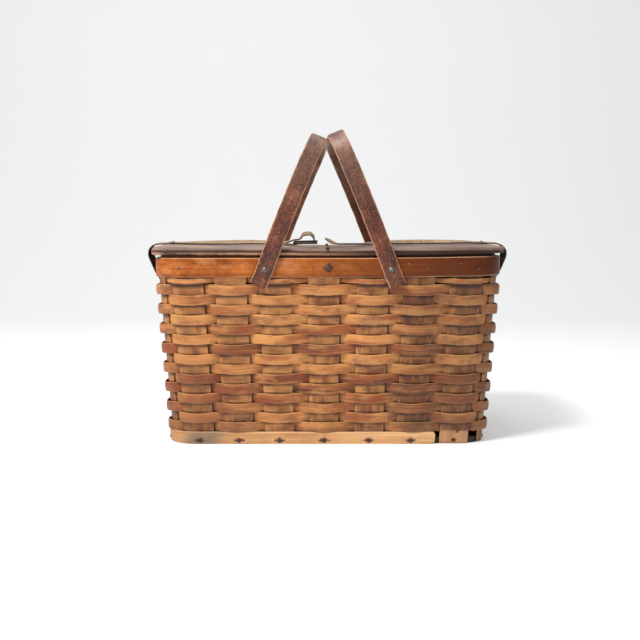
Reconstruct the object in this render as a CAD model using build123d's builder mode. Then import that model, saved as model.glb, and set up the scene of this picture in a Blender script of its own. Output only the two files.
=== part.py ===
from build123d import *
import math
import os

os.makedirs("parts", exist_ok=True)

# Picnic basket, millimetres. +X runs along its length, the front faces -Y, Z = 0 is the ground.
rim_length = 460.0
rim_depth = 292.0
rim_top = 249.3
rim_corner_radius = 40.0
wall_slope = 0.065  # how far a wall leans out for each millimetre of height, below the rim

# Bands
rim_band_height = 25.4
rim_band_thickness = 4.0
inner_rim_height = 22.0
inner_rim_thickness = 4.5
inner_rim_rise = 2.9  # above the outer rim, to carry the lids
base_band_height = 16.5
base_band_thickness = 3.5
base_break_x = rim_length * 0.312  # the base band is broken off from here round the front right corner
base_break_y = -rim_depth * 0.188

# Splints
stake_width = 41.5
stake_thickness = 1.9
stake_foot = 0.5
front_stakes_x = [rim_length * share for share in (-0.402, -0.279, -0.152, -0.012, 0.128, 0.261, 0.396)]
end_stakes_y = [rim_depth * share for share in (-0.384, -0.192, 0, 0.192, 0.384)]
weaver_thickness = 1.5
weaver_row_gap = 0.5
full_rows = 15
top_row_height = 6.8
top_row_gap = 0.8  # under the outer rim
top_row_spacing = 2.0  # above the row below it
weave_play = 0.85  # between a weaver and a stake, at the weaver's mid height
weave_hold = 1.0  # how far past a stake's edge a weaver still lies flat
weave_puff = 1.3  # how much further a weaver bows out over the middle of a stake
weave_sag = 0.4  # how much further it bows in behind one
arc_step = 6.5  # longest flat on a splint that goes round a corner

# Bottom board, centre bar and its tongue
bottom_thickness = 8.0
seat_gap = 0.2  # between pieces that are nailed together
bar_width = 34.0
bar_height = 14.0
tongue_width = 3.0
tongue_drop = 0.8  # below the lids' upper face

# Lids
lid_overhang = 6.0  # past the outer rim at each end
lid_inset = 2.5  # inside the outer rim at front and back
lid_thickness = 7.0
lid_corner_radius = 38.0
lid_edge_radius = 2.0
lid_seat_gap = 0.3
lid_side_gap = 0.4  # between a lid and the tongue

# Hinges
hinge_offset = rim_depth * 0.274
knuckle_length = 12.0
knuckle_gap = 0.3
knuckle_radius = 2.4
knuckle_clearance = 0.5
hinge_axis_rise = 1.0  # above the lids' upper face
hinge_pin_radius = 1.2
hinge_pin_fit = 0.05
hinge_pin_head_radius = 1.9
hinge_pin_head_length = 1.0
leaf_reach = 24.0
leaf_thickness = 1.2
leaf_fit = 0.1
post_thickness = 2.4
post_depth = 9.0
leaf_nail_radius = 1.0
leaf_nail_head_radius = 1.8
leaf_nail_head_height = 0.5
leaf_nail_length = 5.0
leaf_nail_reach = 16.0
leaf_nail_spread = 24.0

# Handles
handle_width = 22.6
handle_thickness = 5.0
handle_pivot_x = rim_length * 0.1793
handle_pivot_drop = 15.0  # below the outer rim's upper edge
handle_reach_left = 189.0
handle_reach_right = handle_reach_left + 5.0
handle_tail = 22.0
handle_bend_radius = 30.0
handle_side_gap = 0.6
grip_gap = 0.6
rivet_radius = 2.6
rivet_fit = 0.08
rivet_head_radius = 3.8
rivet_head_height = 2.4
rivet_head_gap = 0.3
washer_radius = 7.0
washer_thickness = 1.2

# Nails in the bands
brad_radius = 0.8
brad_head_radius = 1.7
brad_head_height = 0.5
brad_length = 9.0
brad_drops = [7.0, 13.5]  # the two staggered rows, below the outer rim's upper edge
front_brads = [-0.424, -0.38, -0.322, -0.27, -0.041, 0.021, 0.096, 0.23, 0.283, 0.376, 0.428]  # of the length
end_brads = [-0.329, -0.205, -0.082, 0.082, 0.205, 0.329]  # of the depth
base_nail_radius = 1.1
base_nail_head_radius = 2.6
base_nail_head_height = 1.2
base_nail_length = 16.0
base_nail_height = 5.0
pyramid_size = 10.5
pyramid_tip = 1.3
pyramid_height = 4.5
pyramid_drop = 12.5
pyramid_shank_radius = 1.8
pyramid_shank_length = 22.0

# Strap and buckle
strap_width = 22.0
strap_thickness = 3.0
strap_lift = 3.4  # the dry leather stands off the boards
strap_bend_radius = 4.0
strap_bulge = 22.5  # how far the ends stand out past the lids
strap_shoulder = 9.0  # past the lids, where an end starts to turn down
strap_slope = 2.5  # from the bulge inwards to the end of that first turn
strap_upper_bend = 4.5  # below the strap's middle on the lids
strap_lower_bend = 10.0  # below the lids' upper face
strap_knee = 9.5  # from the bulge inwards to where an end turns in under the lid
strap_knee_drop = 32.5  # below the lids' upper face
strap_drop = 47.5  # how far the ends hang below the lids' upper face
strap_climb = 15.6  # length over which the left half rises onto the buckle's bar
strap_end_gap = 7.0  # between a hanging end and the outer rim
strap_tip_base = 15.0
strap_tip_end = -2.6
strap_tip_rise = 7.5
buckle_left = -48.0
buckle_right = -14.0
buckle_depth = 31.0
buckle_corner_radius = 5.0
buckle_wire_radius = 1.6
buckle_rise = 4.8
arch_top = 21.5
arch_radius = 6.0
arch_foot_width = 20.5
slot_width = 3.6
buckle_loop_length = 10.0  # to the left of the buckle's bar
buckle_loop_thickness = 1.3
prong_radius = 1.0
prong_fit = 0.1
prong_eye_wall = 1.2
prong_eye_width = 2.6
tack_radius = 0.9
tack_head_radius = 2.2
tack_head_height = 1.0
tack_length = 10.0
tack_inset = 14.0
tack_spread = 11.0

# Sizes that follow from the ones above
half_length = rim_length / 2
half_depth = rim_depth / 2
rim_bottom = rim_top - rim_band_height
inner_rim_top = rim_top + inner_rim_rise
lid_bottom = inner_rim_top + lid_seat_gap
lid_top = lid_bottom + lid_thickness
lid_half_length = half_length + lid_overhang
lid_half_depth = half_depth - lid_inset
lid_edge_x = tongue_width / 2 + lid_side_gap
top_row_bottom = rim_bottom - top_row_gap - top_row_height
weaver_pitch = (top_row_bottom - top_row_spacing - base_band_height) / full_rows
band_offset = stake_thickness / 2 + seat_gap  # from the stakes' middle to a band's face
wall_half_length = half_length - rim_band_thickness - band_offset  # the stakes' middle, at the rim
wall_half_depth = half_depth - rim_band_thickness - band_offset
wall_radius = rim_corner_radius - rim_band_thickness - band_offset
weaver_offset = stake_thickness / 2 + weave_play + weaver_thickness / 2
bar_end_y = wall_half_depth - band_offset - inner_rim_thickness - seat_gap
hinge_axis_z = lid_top + hinge_axis_rise
hinge_length = 3 * knuckle_length + 2 * knuckle_gap
knuckle_step = knuckle_length + knuckle_gap
hinge_bay = hinge_length / 2 + hinge_pin_head_length + knuckle_clearance
bay_radius = knuckle_radius + knuckle_clearance
pivot_z = rim_top - handle_pivot_drop
leg_inner_y = half_depth + handle_side_gap
leg_outer_y = leg_inner_y + handle_thickness
rivet_inner_y = bar_end_y + seat_gap - washer_thickness
strap_z = lid_top + strap_lift + strap_thickness / 2
buckle_z = lid_top + buckle_rise + buckle_wire_radius
buckle_bar_left = buckle_left + buckle_wire_radius
buckle_bar_right = buckle_right - buckle_wire_radius
eye_radius = buckle_wire_radius + prong_fit + prong_eye_wall

# The handles lean until the shorter one's upper corner meets the other one's edge
corner_reach = math.hypot(handle_reach_left, handle_width / 2)
corner_turn = math.asin((handle_pivot_x - grip_gap / 2) / corner_reach)
handle_lean = corner_turn - math.atan2(handle_width / 2, handle_reach_left)


def wall_sizes(z):
    """Half length and half depth of the stakes' middle line at height z."""
    inward = wall_slope * max(rim_bottom - z, 0.0)
    return wall_half_length - inward, wall_half_depth - inward


def wall_runs():
    """The straight run and the corner arc on each side at the rim, front first and then anticlockwise."""
    straights = [2 * (half - wall_radius) for half in wall_sizes(rim_top)]
    return [(straights[side % 2], wall_radius * math.pi / 2) for side in range(4)]


def wall_length():
    return sum(straight + arc for straight, arc in wall_runs())


def wall_point(z, distance, outward):
    """A point at height z, a distance along the wall as measured at the rim, outward of its middle."""
    halves = wall_sizes(z)
    distance %= wall_length()
    for side, (straight, arc) in enumerate(wall_runs()):
        along = halves[side % 2] - wall_radius
        out = halves[(side + 1) % 2]
        if distance <= straight:
            x, y = along * (2 * distance / straight - 1), -out - outward
            break
        distance -= straight
        if distance <= arc:
            turn = distance / wall_radius
            x = along + (wall_radius + outward) * math.sin(turn)
            y = wall_radius - out - (wall_radius + outward) * math.cos(turn)
            break
        distance -= arc
    for _ in range(side):
        x, y = -y, x
    return x, y


def side_middle(side):
    """Distance along the wall to the middle of a side."""
    runs = wall_runs()
    return sum(straight + arc for straight, arc in runs[:side]) + runs[side][0] / 2


def wall_steps(start, end):
    """Distances from start to end, close enough together to follow a corner arc."""
    edge, steps = -wall_length(), [start, end]
    corners = []
    for straight, arc in wall_runs() * 2:
        corners.append((edge + straight, edge + straight + arc))
        edge += straight + arc
    for low, high in corners:
        first, last = max(low, start), min(high, end)
        if last > first:
            count = math.ceil((last - first) / arc_step)
            steps += [first + (last - first) * step / count for step in range(count + 1)]
    return sorted({round(step, 4) for step in steps})


def wall_rectangle(z, outward, mode=Mode.ADD):
    """The wall's rounded outline in the sketch at height z."""
    a, b = wall_sizes(z)
    RectangleRounded(2 * (a + outward), 2 * (b + outward), wall_radius + outward, mode=mode)


def dome(radius, height):
    """Points of a rounded head's arc, from its rim to its crown, in a profile of (radius, height)."""
    sphere = (radius**2 + height**2) / (2 * height)
    half_turn = math.asin(radius / sphere) / 2
    middle = (sphere * math.sin(half_turn), height - sphere + sphere * math.cos(half_turn))
    return (radius, 0), middle, (0, height)


def upright_plane(x, y, z):
    """A plane that faces the front, through an upright nail's axis."""
    return Plane(origin=(x, y, z), x_dir=(1, 0, 0), z_dir=(0, -1, 0))


def nail_profile(shank_radius, length, head_radius, head_height):
    """Half of a domed nail's section, its head standing on the plane's X axis and its shank below."""
    rim, middle, crown = dome(head_radius, head_height)
    with BuildSketch() as profile:
        with BuildLine():
            ThreePointArc(rim, middle, crown)
            Polyline(crown, (0, -length), (shank_radius, -length), (shank_radius, 0), rim)
        make_face()
    return profile.sketch


# Stakes
stake_sides = {
    "front_stakes": [side_middle(0) + x for x in front_stakes_x],
    "right_stakes": [side_middle(1) + y for y in end_stakes_y],
    "back_stakes": [side_middle(2) - x for x in reversed(front_stakes_x)],
    "left_stakes": [side_middle(3) + y for y in end_stakes_y],
}
stake_places = [place for places in stake_sides.values() for place in places]

for name, places in stake_sides.items():
    with BuildPart() as stakes:
        for place in places:
            steps = wall_steps(place - stake_width / 2, place + stake_width / 2)
            for z in (stake_foot, rim_bottom, rim_top):
                outer = [wall_point(z, step, stake_thickness / 2) for step in steps]
                inner = [wall_point(z, step, -stake_thickness / 2) for step in reversed(steps)]
                with BuildSketch(Plane.XY.offset(z)):
                    with BuildLine():
                        Polyline(*outer, *inner, close=True)
                    make_face()
            loft(ruled=True)
    stakes.part.label = name
    export_step(stakes.part, f"parts/{name}.step")


# Weavers, from the top row down. Every other row is over where its neighbours are under.
def weaver_line(z, first_over, outward):
    """A weaver's closed outline at height z, a distance outward of its own middle."""
    knots = []
    flat = stake_width / 2 + weave_hold
    for number, place in enumerate(stake_places):
        over = (number % 2 == 0) == first_over
        level = weaver_offset if over else -weaver_offset
        bow = weave_puff if over else -weave_sag
        knots += [(place - flat, level), (place, level + bow), (place + flat, level)]
    knots.append((knots[0][0] + wall_length(), knots[0][1]))
    points = []
    for (start, low), (end, high) in zip(knots, knots[1:]):
        for step in wall_steps(start, end)[:-1]:
            share = (step - start) / (end - start)
            points.append(wall_point(z, step, low + (high - low) * share + outward))
    return points


row_heights = [weaver_pitch - weaver_row_gap] * full_rows + [top_row_height]
row_bottoms = [base_band_height + weaver_row_gap + weaver_pitch * row for row in range(full_rows)]
row_bottoms.append(top_row_bottom)

for row, (bottom, height) in enumerate(zip(row_bottoms, row_heights)):
    name = f"weaver_{full_rows + 1 - row:02d}"
    first_over = (full_rows - row) % 2 == 0
    with BuildPart() as weaver:
        with BuildSketch(Plane.XY.offset(bottom)):
            with BuildLine():
                Polyline(*weaver_line(bottom + height / 2, first_over, weaver_thickness / 2), close=True)
            make_face()
            with BuildLine():
                Polyline(*weaver_line(bottom + height / 2, first_over, -weaver_thickness / 2), close=True)
            make_face(mode=Mode.SUBTRACT)
        extrude(amount=height)
    weaver.part.label = name
    export_step(weaver.part, f"parts/{name}.step")

# Rim bands
with BuildPart() as outer_rim:
    with BuildSketch(Plane.XY.offset(rim_bottom)):
        wall_rectangle(rim_top, band_offset + rim_band_thickness)
        wall_rectangle(rim_top, band_offset, mode=Mode.SUBTRACT)
    extrude(amount=rim_band_height)
outer_rim.part.label = "outer_rim"
export_step(outer_rim.part, "parts/outer_rim.step")

with BuildPart() as inner_rim:
    with BuildSketch(Plane.XY.offset(inner_rim_top - inner_rim_height)):
        wall_rectangle(rim_top, -band_offset)
        wall_rectangle(rim_top, -band_offset - inner_rim_thickness, mode=Mode.SUBTRACT)
    extrude(amount=inner_rim_height)
inner_rim.part.label = "inner_rim"
export_step(inner_rim.part, "parts/inner_rim.step")

# Base band, broken off round the front right corner
with BuildPart() as base_band:
    for z in (0, base_band_height):
        with BuildSketch(Plane.XY.offset(z)):
            wall_rectangle(z, band_offset + base_band_thickness)
    loft(ruled=True)
    for z in (0, base_band_height):
        with BuildSketch(Plane.XY.offset(z)):
            wall_rectangle(z, band_offset)
    loft(ruled=True, mode=Mode.SUBTRACT)
    with Locations((base_break_x, base_break_y, 0)):
        Box(
            half_length,
            half_depth,
            base_band_height,
            align=(Align.MIN, Align.MAX, Align.MIN),
            mode=Mode.SUBTRACT,
        )
base_band.part.label = "base_band"
export_step(base_band.part, "parts/base_band.step")

# Bottom board
with BuildPart() as bottom_board:
    for z in (0, bottom_thickness):
        with BuildSketch(Plane.XY.offset(z)):
            wall_rectangle(z, -band_offset)
    loft(ruled=True)
bottom_board.part.label = "bottom_board"
export_step(bottom_board.part, "parts/bottom_board.step")

# Centre bar: its tongue rises between the lids, and is cut away where the hinges lie
with BuildPart() as center_bar:
    with BuildSketch(Plane.XY.offset(inner_rim_top - bar_height)):
        Rectangle(bar_width, 2 * bar_end_y)
    extrude(amount=bar_height)
    with BuildSketch(Plane.XY.offset(inner_rim_top)):
        Rectangle(tongue_width, 2 * bar_end_y)
    extrude(amount=lid_seat_gap)
    with BuildSketch(Plane.XY.offset(lid_bottom)):
        Rectangle(tongue_width, 2 * lid_half_depth)
    extrude(amount=lid_thickness - tongue_drop)
    with BuildSketch(Plane.XY.offset(inner_rim_top)):
        with Locations((0, -hinge_offset), (0, hinge_offset)):
            Rectangle(tongue_width, 2 * hinge_bay)
    extrude(amount=lid_thickness, mode=Mode.SUBTRACT)
    with BuildSketch(Plane.XY.offset(inner_rim_top - post_depth)):
        with Locations((0, -hinge_offset), (0, hinge_offset)):
            Rectangle(post_thickness + 2 * leaf_fit, knuckle_length + 2 * leaf_fit)
    extrude(amount=post_depth, mode=Mode.SUBTRACT)
center_bar.part.label = "center_bar"
export_step(center_bar.part, "parts/center_bar.step")

# Hinges: a post on the bar holds the middle knuckle, and each lid's leaf has one beside it
with BuildPart() as hinge_posts:
    for y in (-hinge_offset, hinge_offset):
        with BuildSketch(Plane.XZ.offset(-y - knuckle_length / 2)):
            with Locations((0, hinge_axis_z)):
                Circle(knuckle_radius)
            with Locations((0, inner_rim_top - post_depth)):
                Rectangle(
                    post_thickness,
                    hinge_axis_z - inner_rim_top + post_depth,
                    align=(Align.CENTER, Align.MIN),
                )
            with Locations((0, hinge_axis_z)):
                Circle(hinge_pin_radius + hinge_pin_fit, mode=Mode.SUBTRACT)
        extrude(amount=knuckle_length)
hinge_posts.part.label = "hinge_posts"
export_step(hinge_posts.part, "parts/hinge_posts.step")

with BuildPart() as hinge_pins:
    for y in (-hinge_offset, hinge_offset):
        with BuildSketch(Plane.XZ.offset(-y - hinge_length / 2)):
            with Locations((0, hinge_axis_z)):
                Circle(hinge_pin_radius)
        extrude(amount=hinge_length)
        for start in (-y - hinge_length / 2 - hinge_pin_head_length, -y + hinge_length / 2):
            with BuildSketch(Plane.XZ.offset(start)):
                with Locations((0, hinge_axis_z)):
                    Circle(hinge_pin_head_radius)
            extrude(amount=hinge_pin_head_length)
hinge_pins.part.label = "hinge_pins"
export_step(hinge_pins.part, "parts/hinge_pins.step")

# Lids, hinge leaves and the nails that hold them, the left one first
leaf_nail_section = nail_profile(
    leaf_nail_radius, leaf_nail_length, leaf_nail_head_radius, leaf_nail_head_height
)
for side, side_name in ((-1, "left"), (1, "right")):
    leaf_places = [
        (side * leaf_nail_reach, y + step)
        for y in (-hinge_offset, hinge_offset)
        for step in (-leaf_nail_spread / 2, leaf_nail_spread / 2)
    ]
    with BuildPart() as lid:
        with BuildSketch(Plane.XY.offset(lid_bottom)):
            RectangleRounded(2 * lid_half_length, 2 * lid_half_depth, lid_corner_radius)
            with Locations((-side * (lid_half_length - lid_edge_x), 0)):
                Rectangle(2 * lid_half_length, 2 * lid_half_depth, mode=Mode.SUBTRACT)
        extrude(amount=lid_thickness)
        outer_edges = [
            edge
            for level in (0, -1)
            for edge in lid.edges().group_by(Axis.Z)[level]
            if abs(edge.center().X) > lid_edge_x + lid_edge_radius
        ]
        fillet(outer_edges, radius=lid_edge_radius)
        with BuildSketch(Plane.XY.offset(lid_top - leaf_thickness)):
            with Locations((0, -hinge_offset), (0, hinge_offset)):
                Rectangle(2 * (leaf_reach + leaf_fit), hinge_length + 2 * leaf_fit)
        extrude(amount=leaf_thickness, mode=Mode.SUBTRACT)
        for y in (-hinge_offset, hinge_offset):
            with BuildSketch(Plane.XZ.offset(-y - hinge_bay)):
                with Locations((0, hinge_axis_z)):
                    Circle(bay_radius)
            extrude(amount=2 * hinge_bay, mode=Mode.SUBTRACT)
    lid.part.label = f"lid_{side_name}"
    export_step(lid.part, f"parts/lid_{side_name}.step")

    with BuildPart() as leaves:
        for y in (-hinge_offset, hinge_offset):
            knuckle_y = y + side * knuckle_step
            with BuildSketch(Plane.XY.offset(lid_top - leaf_thickness)):
                with Locations((side * (leaf_reach + bay_radius) / 2, y)):
                    Rectangle(leaf_reach - bay_radius, hinge_length)
                with Locations((side * bay_radius / 2, knuckle_y)):
                    Rectangle(bay_radius + leaf_fit, knuckle_length)
            extrude(amount=leaf_thickness)
            with BuildSketch(Plane.XZ.offset(-knuckle_y - knuckle_length / 2)):
                with Locations((0, hinge_axis_z)):
                    Circle(knuckle_radius)
            extrude(amount=knuckle_length)
            with BuildSketch(Plane.XZ.offset(-knuckle_y - knuckle_length / 2)):
                with Locations((0, hinge_axis_z)):
                    Circle(hinge_pin_radius + hinge_pin_fit)
            extrude(amount=knuckle_length, mode=Mode.SUBTRACT)
    leaves.part.label = f"hinge_leaves_{side_name}"
    export_step(leaves.part, f"parts/hinge_leaves_{side_name}.step")

    with BuildPart() as leaf_nails:
        for x, y in leaf_places:
            with BuildSketch(upright_plane(x, y, lid_top)):
                add(leaf_nail_section)
            revolve(axis=Axis((x, y, 0), (0, 0, 1)))
    leaf_nails.part.label = f"hinge_nails_{side_name}"
    export_step(leaf_nails.part, f"parts/hinge_nails_{side_name}.step")


# Handles: each is one bent strip, a leg in front, the grip across and a leg behind
def handle_outline(half_width, top, radius):
    """The face inside an arch, from the legs' lower ends to the grip."""
    with BuildSketch() as outline:
        with BuildLine():
            FilletPolyline(
                (-half_width, -handle_tail),
                (-half_width, top),
                (half_width, top),
                (half_width, -handle_tail),
                radius=radius,
            )
            Line((half_width, -handle_tail), (-half_width, -handle_tail))
        make_face()
    return outline.sketch


for side, side_name, reach in ((-1, "left", handle_reach_left), (1, "right", handle_reach_right)):
    pivot_x = side * handle_pivot_x
    handle_plane = Plane(
        origin=(pivot_x, 0, pivot_z),
        x_dir=(0, 1, 0),
        z_dir=(math.cos(handle_lean), 0, side * math.sin(handle_lean)),
    )
    with BuildPart() as handle:
        with BuildSketch(handle_plane):
            add(handle_outline(leg_outer_y, reach, handle_bend_radius + handle_thickness))
            hollow = handle_outline(leg_inner_y, reach - handle_thickness, handle_bend_radius)
            add(hollow, mode=Mode.SUBTRACT)
        extrude(amount=handle_width / 2, both=True)
        with BuildSketch(Plane.XZ.offset(-leg_outer_y)):
            with Locations((pivot_x, pivot_z)):
                Circle(rivet_radius + rivet_fit)
        extrude(amount=2 * leg_outer_y, mode=Mode.SUBTRACT)
    handle.part.label = f"handle_{side_name}"
    export_step(handle.part, f"parts/handle_{side_name}.step")

    with BuildPart() as rivets:
        for way in (-1, 1):
            head_y = leg_outer_y + rivet_head_gap
            rivet_plane = Plane(origin=(pivot_x, way * head_y, pivot_z), x_dir=(1, 0, 0), z_dir=(0, 0, way))
            with BuildSketch(rivet_plane):
                add(nail_profile(rivet_radius, head_y - rivet_inner_y, rivet_head_radius, rivet_head_height))
            revolve(axis=Axis((pivot_x, 0, pivot_z), (0, 1, 0)))
    rivets.part.label = f"handle_rivets_{side_name}"
    export_step(rivets.part, f"parts/handle_rivets_{side_name}.step")

with BuildPart() as washers:
    for y in (-rivet_inner_y - washer_thickness, rivet_inner_y):
        with BuildSketch(Plane.XZ.offset(-y - washer_thickness)):
            with Locations((-handle_pivot_x, pivot_z), (handle_pivot_x, pivot_z)):
                Circle(washer_radius)
                Circle(rivet_radius + rivet_fit, mode=Mode.SUBTRACT)
        extrude(amount=washer_thickness)
washers.part.label = "rivet_washers"
export_step(washers.part, "parts/rivet_washers.step")


# Nails through the bands. Each is made where it stands, its head on the band's outer face.
def nail_plane(z, distance, outward):
    """A plane through a nail's axis, its origin on the band's face and its Y direction leading outward."""
    x, y = wall_point(z, distance, outward)
    out_x, out_y = wall_point(z, distance, outward + 1)
    return Plane(origin=(x, y, z), x_dir=(out_y - y, x - out_x, 0), z_dir=(0, 0, 1))


brad_section = nail_profile(brad_radius, brad_length, brad_head_radius, brad_head_height)
with BuildPart() as rim_nails:
    for side in range(4):
        shares, run = (end_brads, rim_depth) if side % 2 else (front_brads, rim_length)
        for number, share in enumerate(shares):
            brad_z = rim_top - brad_drops[(number + side + 1) % 2]
            place = side_middle(side) + share * run
            brad_plane = nail_plane(brad_z, place, band_offset + rim_band_thickness)
            with BuildSketch(brad_plane):
                add(brad_section)
            revolve(axis=Axis(brad_plane.origin, brad_plane.y_dir))
rim_nails.part.label = "rim_nails"
export_step(rim_nails.part, "parts/rim_nails.step")

base_nail_section = nail_profile(
    base_nail_radius, base_nail_length, base_nail_head_radius, base_nail_head_height
)
with BuildPart() as base_nails:
    for place in stake_places:
        x, y = wall_point(base_nail_height, place, 0)
        broken = x > base_break_x and y < base_break_y
        face = band_offset if broken else band_offset + base_band_thickness
        base_nail_plane = nail_plane(base_nail_height, place, face)
        with BuildSketch(base_nail_plane):
            add(base_nail_section)
        revolve(axis=Axis(base_nail_plane.origin, base_nail_plane.y_dir))
base_nails.part.label = "base_nails"
export_step(base_nails.part, "parts/base_nails.step")

with BuildPart() as pyramid_nails:
    for way in (-1, 1):
        nail_face = Plane(
            origin=(0, way * half_depth, rim_top - pyramid_drop), x_dir=(1, 0, 0), z_dir=(0, way, 0)
        )
        with BuildSketch(nail_face):
            Rectangle(pyramid_size, pyramid_size, rotation=45)
        with BuildSketch(nail_face.offset(pyramid_height)):
            Rectangle(pyramid_tip, pyramid_tip, rotation=45)
        loft(ruled=True)
        with BuildSketch(nail_face):
            Circle(pyramid_shank_radius)
        extrude(amount=-pyramid_shank_length)
pyramid_nails.part.label = "pyramid_nails"
export_step(pyramid_nails.part, "parts/pyramid_nails.step")


# Strap: its two halves lie along the lids, with their ends hanging past the rim
def strap_end(side):
    """Middle line of a strap's hanging end, from its lower tip up to the lid."""
    bulge_x = lid_half_length + strap_bulge - strap_thickness / 2
    return [
        (side * (half_length + strap_end_gap + strap_thickness / 2), lid_top - strap_drop),
        (side * (bulge_x - strap_knee), lid_top - strap_knee_drop),
        (side * bulge_x, lid_top - strap_lower_bend),
        (side * (bulge_x - strap_slope), strap_z - strap_upper_bend),
        (side * (lid_half_length + strap_shoulder), strap_z),
    ]


crossing_z = buckle_z + eye_radius + prong_fit + strap_thickness / 2
slot_left = buckle_bar_left - eye_radius - 2 * prong_radius
arch_left = buckle_bar_left + 2 * buckle_wire_radius + strap_thickness
arch_right = arch_left + arch_foot_width
arch_z = lid_top + arch_top - strap_thickness / 2
with BuildPart() as strap_left:
    with BuildSketch(Plane.XZ):
        with BuildLine():
            FilletPolyline(
                *strap_end(-1),
                (buckle_left - strap_climb, strap_z),
                (buckle_left, crossing_z),
                (arch_left, crossing_z),
                (arch_left + arch_radius / 2, arch_z),
                (arch_right - arch_radius / 2, arch_z),
                (arch_right, strap_z),
                radius=strap_bend_radius,
            )
        trace(line_width=strap_thickness)
    extrude(amount=strap_width / 2, both=True)
    with BuildSketch(Plane.XY.offset(lid_top)):
        with Locations((slot_left, 0)):
            Rectangle(half_length, slot_width, align=(Align.MIN, Align.CENTER))
    extrude(amount=arch_top + strap_thickness, mode=Mode.SUBTRACT)
strap_left.part.label = "strap_left"
export_step(strap_left.part, "parts/strap_left.step")

with BuildPart() as strap_right:
    with BuildSketch(Plane.XZ):
        with BuildLine():
            FilletPolyline(*strap_end(1), (strap_tip_base, strap_z), radius=strap_bend_radius)
        trace(line_width=strap_thickness)
    extrude(amount=strap_width / 2, both=True)
strap_right.part.label = "strap_right"
export_step(strap_right.part, "parts/strap_right.step")

with BuildPart() as strap_tip:
    with BuildSketch(Plane.XZ):
        with BuildLine():
            Polyline(
                (strap_tip_base, strap_z - strap_thickness / 2),
                (strap_tip_base, strap_z + strap_thickness / 2),
                (strap_tip_end, strap_z + strap_thickness / 2 + strap_tip_rise),
                (strap_tip_end, strap_z - strap_thickness / 2 + strap_tip_rise),
                close=True,
            )
        make_face()
    extrude(amount=strap_width / 2, both=True)
strap_tip.part.label = "strap_tip"
export_step(strap_tip.part, "parts/strap_tip.step")

# Buckle
with BuildPart() as buckle_frame:
    with BuildLine(Plane.XY.offset(buckle_z)) as buckle_path:
        bar_y = buckle_depth / 2 - buckle_wire_radius
        FilletPolyline(
            (buckle_bar_left, -bar_y),
            (buckle_bar_right, -bar_y),
            (buckle_bar_right, bar_y),
            (buckle_bar_left, bar_y),
            radius=buckle_corner_radius,
            close=True,
        )
    with BuildSketch(Plane(origin=buckle_path.line @ 0, z_dir=buckle_path.line % 0)):
        Circle(buckle_wire_radius)
    sweep()
buckle_frame.part.label = "buckle_frame"
export_step(buckle_frame.part, "parts/buckle_frame.step")

prong_tip_z = buckle_z + buckle_wire_radius + prong_fit + prong_radius
with BuildPart() as buckle_prong:
    with BuildSketch(Plane.XZ.offset(-prong_eye_width / 2)):
        with Locations((buckle_bar_left, buckle_z)):
            Circle(eye_radius)
        with BuildLine():
            Polyline(
                (buckle_bar_left + buckle_wire_radius + prong_fit, buckle_z),
                (buckle_bar_left, buckle_z + eye_radius),
                (buckle_bar_right + buckle_wire_radius, prong_tip_z + prong_radius),
                (buckle_bar_right + buckle_wire_radius, prong_tip_z - prong_radius),
                (buckle_bar_right - buckle_wire_radius, prong_tip_z - prong_radius),
                (buckle_bar_left + eye_radius, buckle_z),
                close=True,
            )
        make_face()
        with Locations((buckle_bar_left, buckle_z)):
            Circle(buckle_wire_radius + prong_fit, mode=Mode.SUBTRACT)
    extrude(amount=prong_eye_width)
buckle_prong.part.label = "buckle_prong"
export_step(buckle_prong.part, "parts/buckle_prong.step")

# Leather loop under the buckle's bar, slotted for the prong's eye
with BuildPart() as buckle_loop:
    with BuildSketch(Plane.XY.offset(lid_top + buckle_rise - seat_gap - buckle_loop_thickness)):
        with Locations((buckle_bar_left + eye_radius, 0)):
            Rectangle(buckle_loop_length + 2 * eye_radius, strap_width, align=(Align.MAX, Align.CENTER))
            Rectangle(
                2 * eye_radius + slot_width,
                slot_width,
                align=(Align.MAX, Align.CENTER),
                mode=Mode.SUBTRACT,
            )
    extrude(amount=buckle_loop_thickness)
buckle_loop.part.label = "buckle_loop"
export_step(buckle_loop.part, "parts/buckle_loop.step")

# Tacks that hold the strap's halves on the lids
for side, side_name in ((-1, "left"), (1, "right")):
    tack_x = side * (lid_half_length - tack_inset)
    tack_z = strap_z + strap_thickness / 2
    with BuildPart() as tacks:
        for y in (-tack_spread / 2, tack_spread / 2):
            with BuildSketch(upright_plane(tack_x, y, tack_z)):
                add(nail_profile(tack_radius, tack_length, tack_head_radius, tack_head_height))
            revolve(axis=Axis((tack_x, y, 0), (0, 0, 1)))
    tacks.part.label = f"strap_tacks_{side_name}"
    export_step(tacks.part, f"parts/strap_tacks_{side_name}.step")
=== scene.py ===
import math
import random
import bpy
import bmesh
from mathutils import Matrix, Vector, noise
from mathutils.kdtree import KDTree


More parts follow.
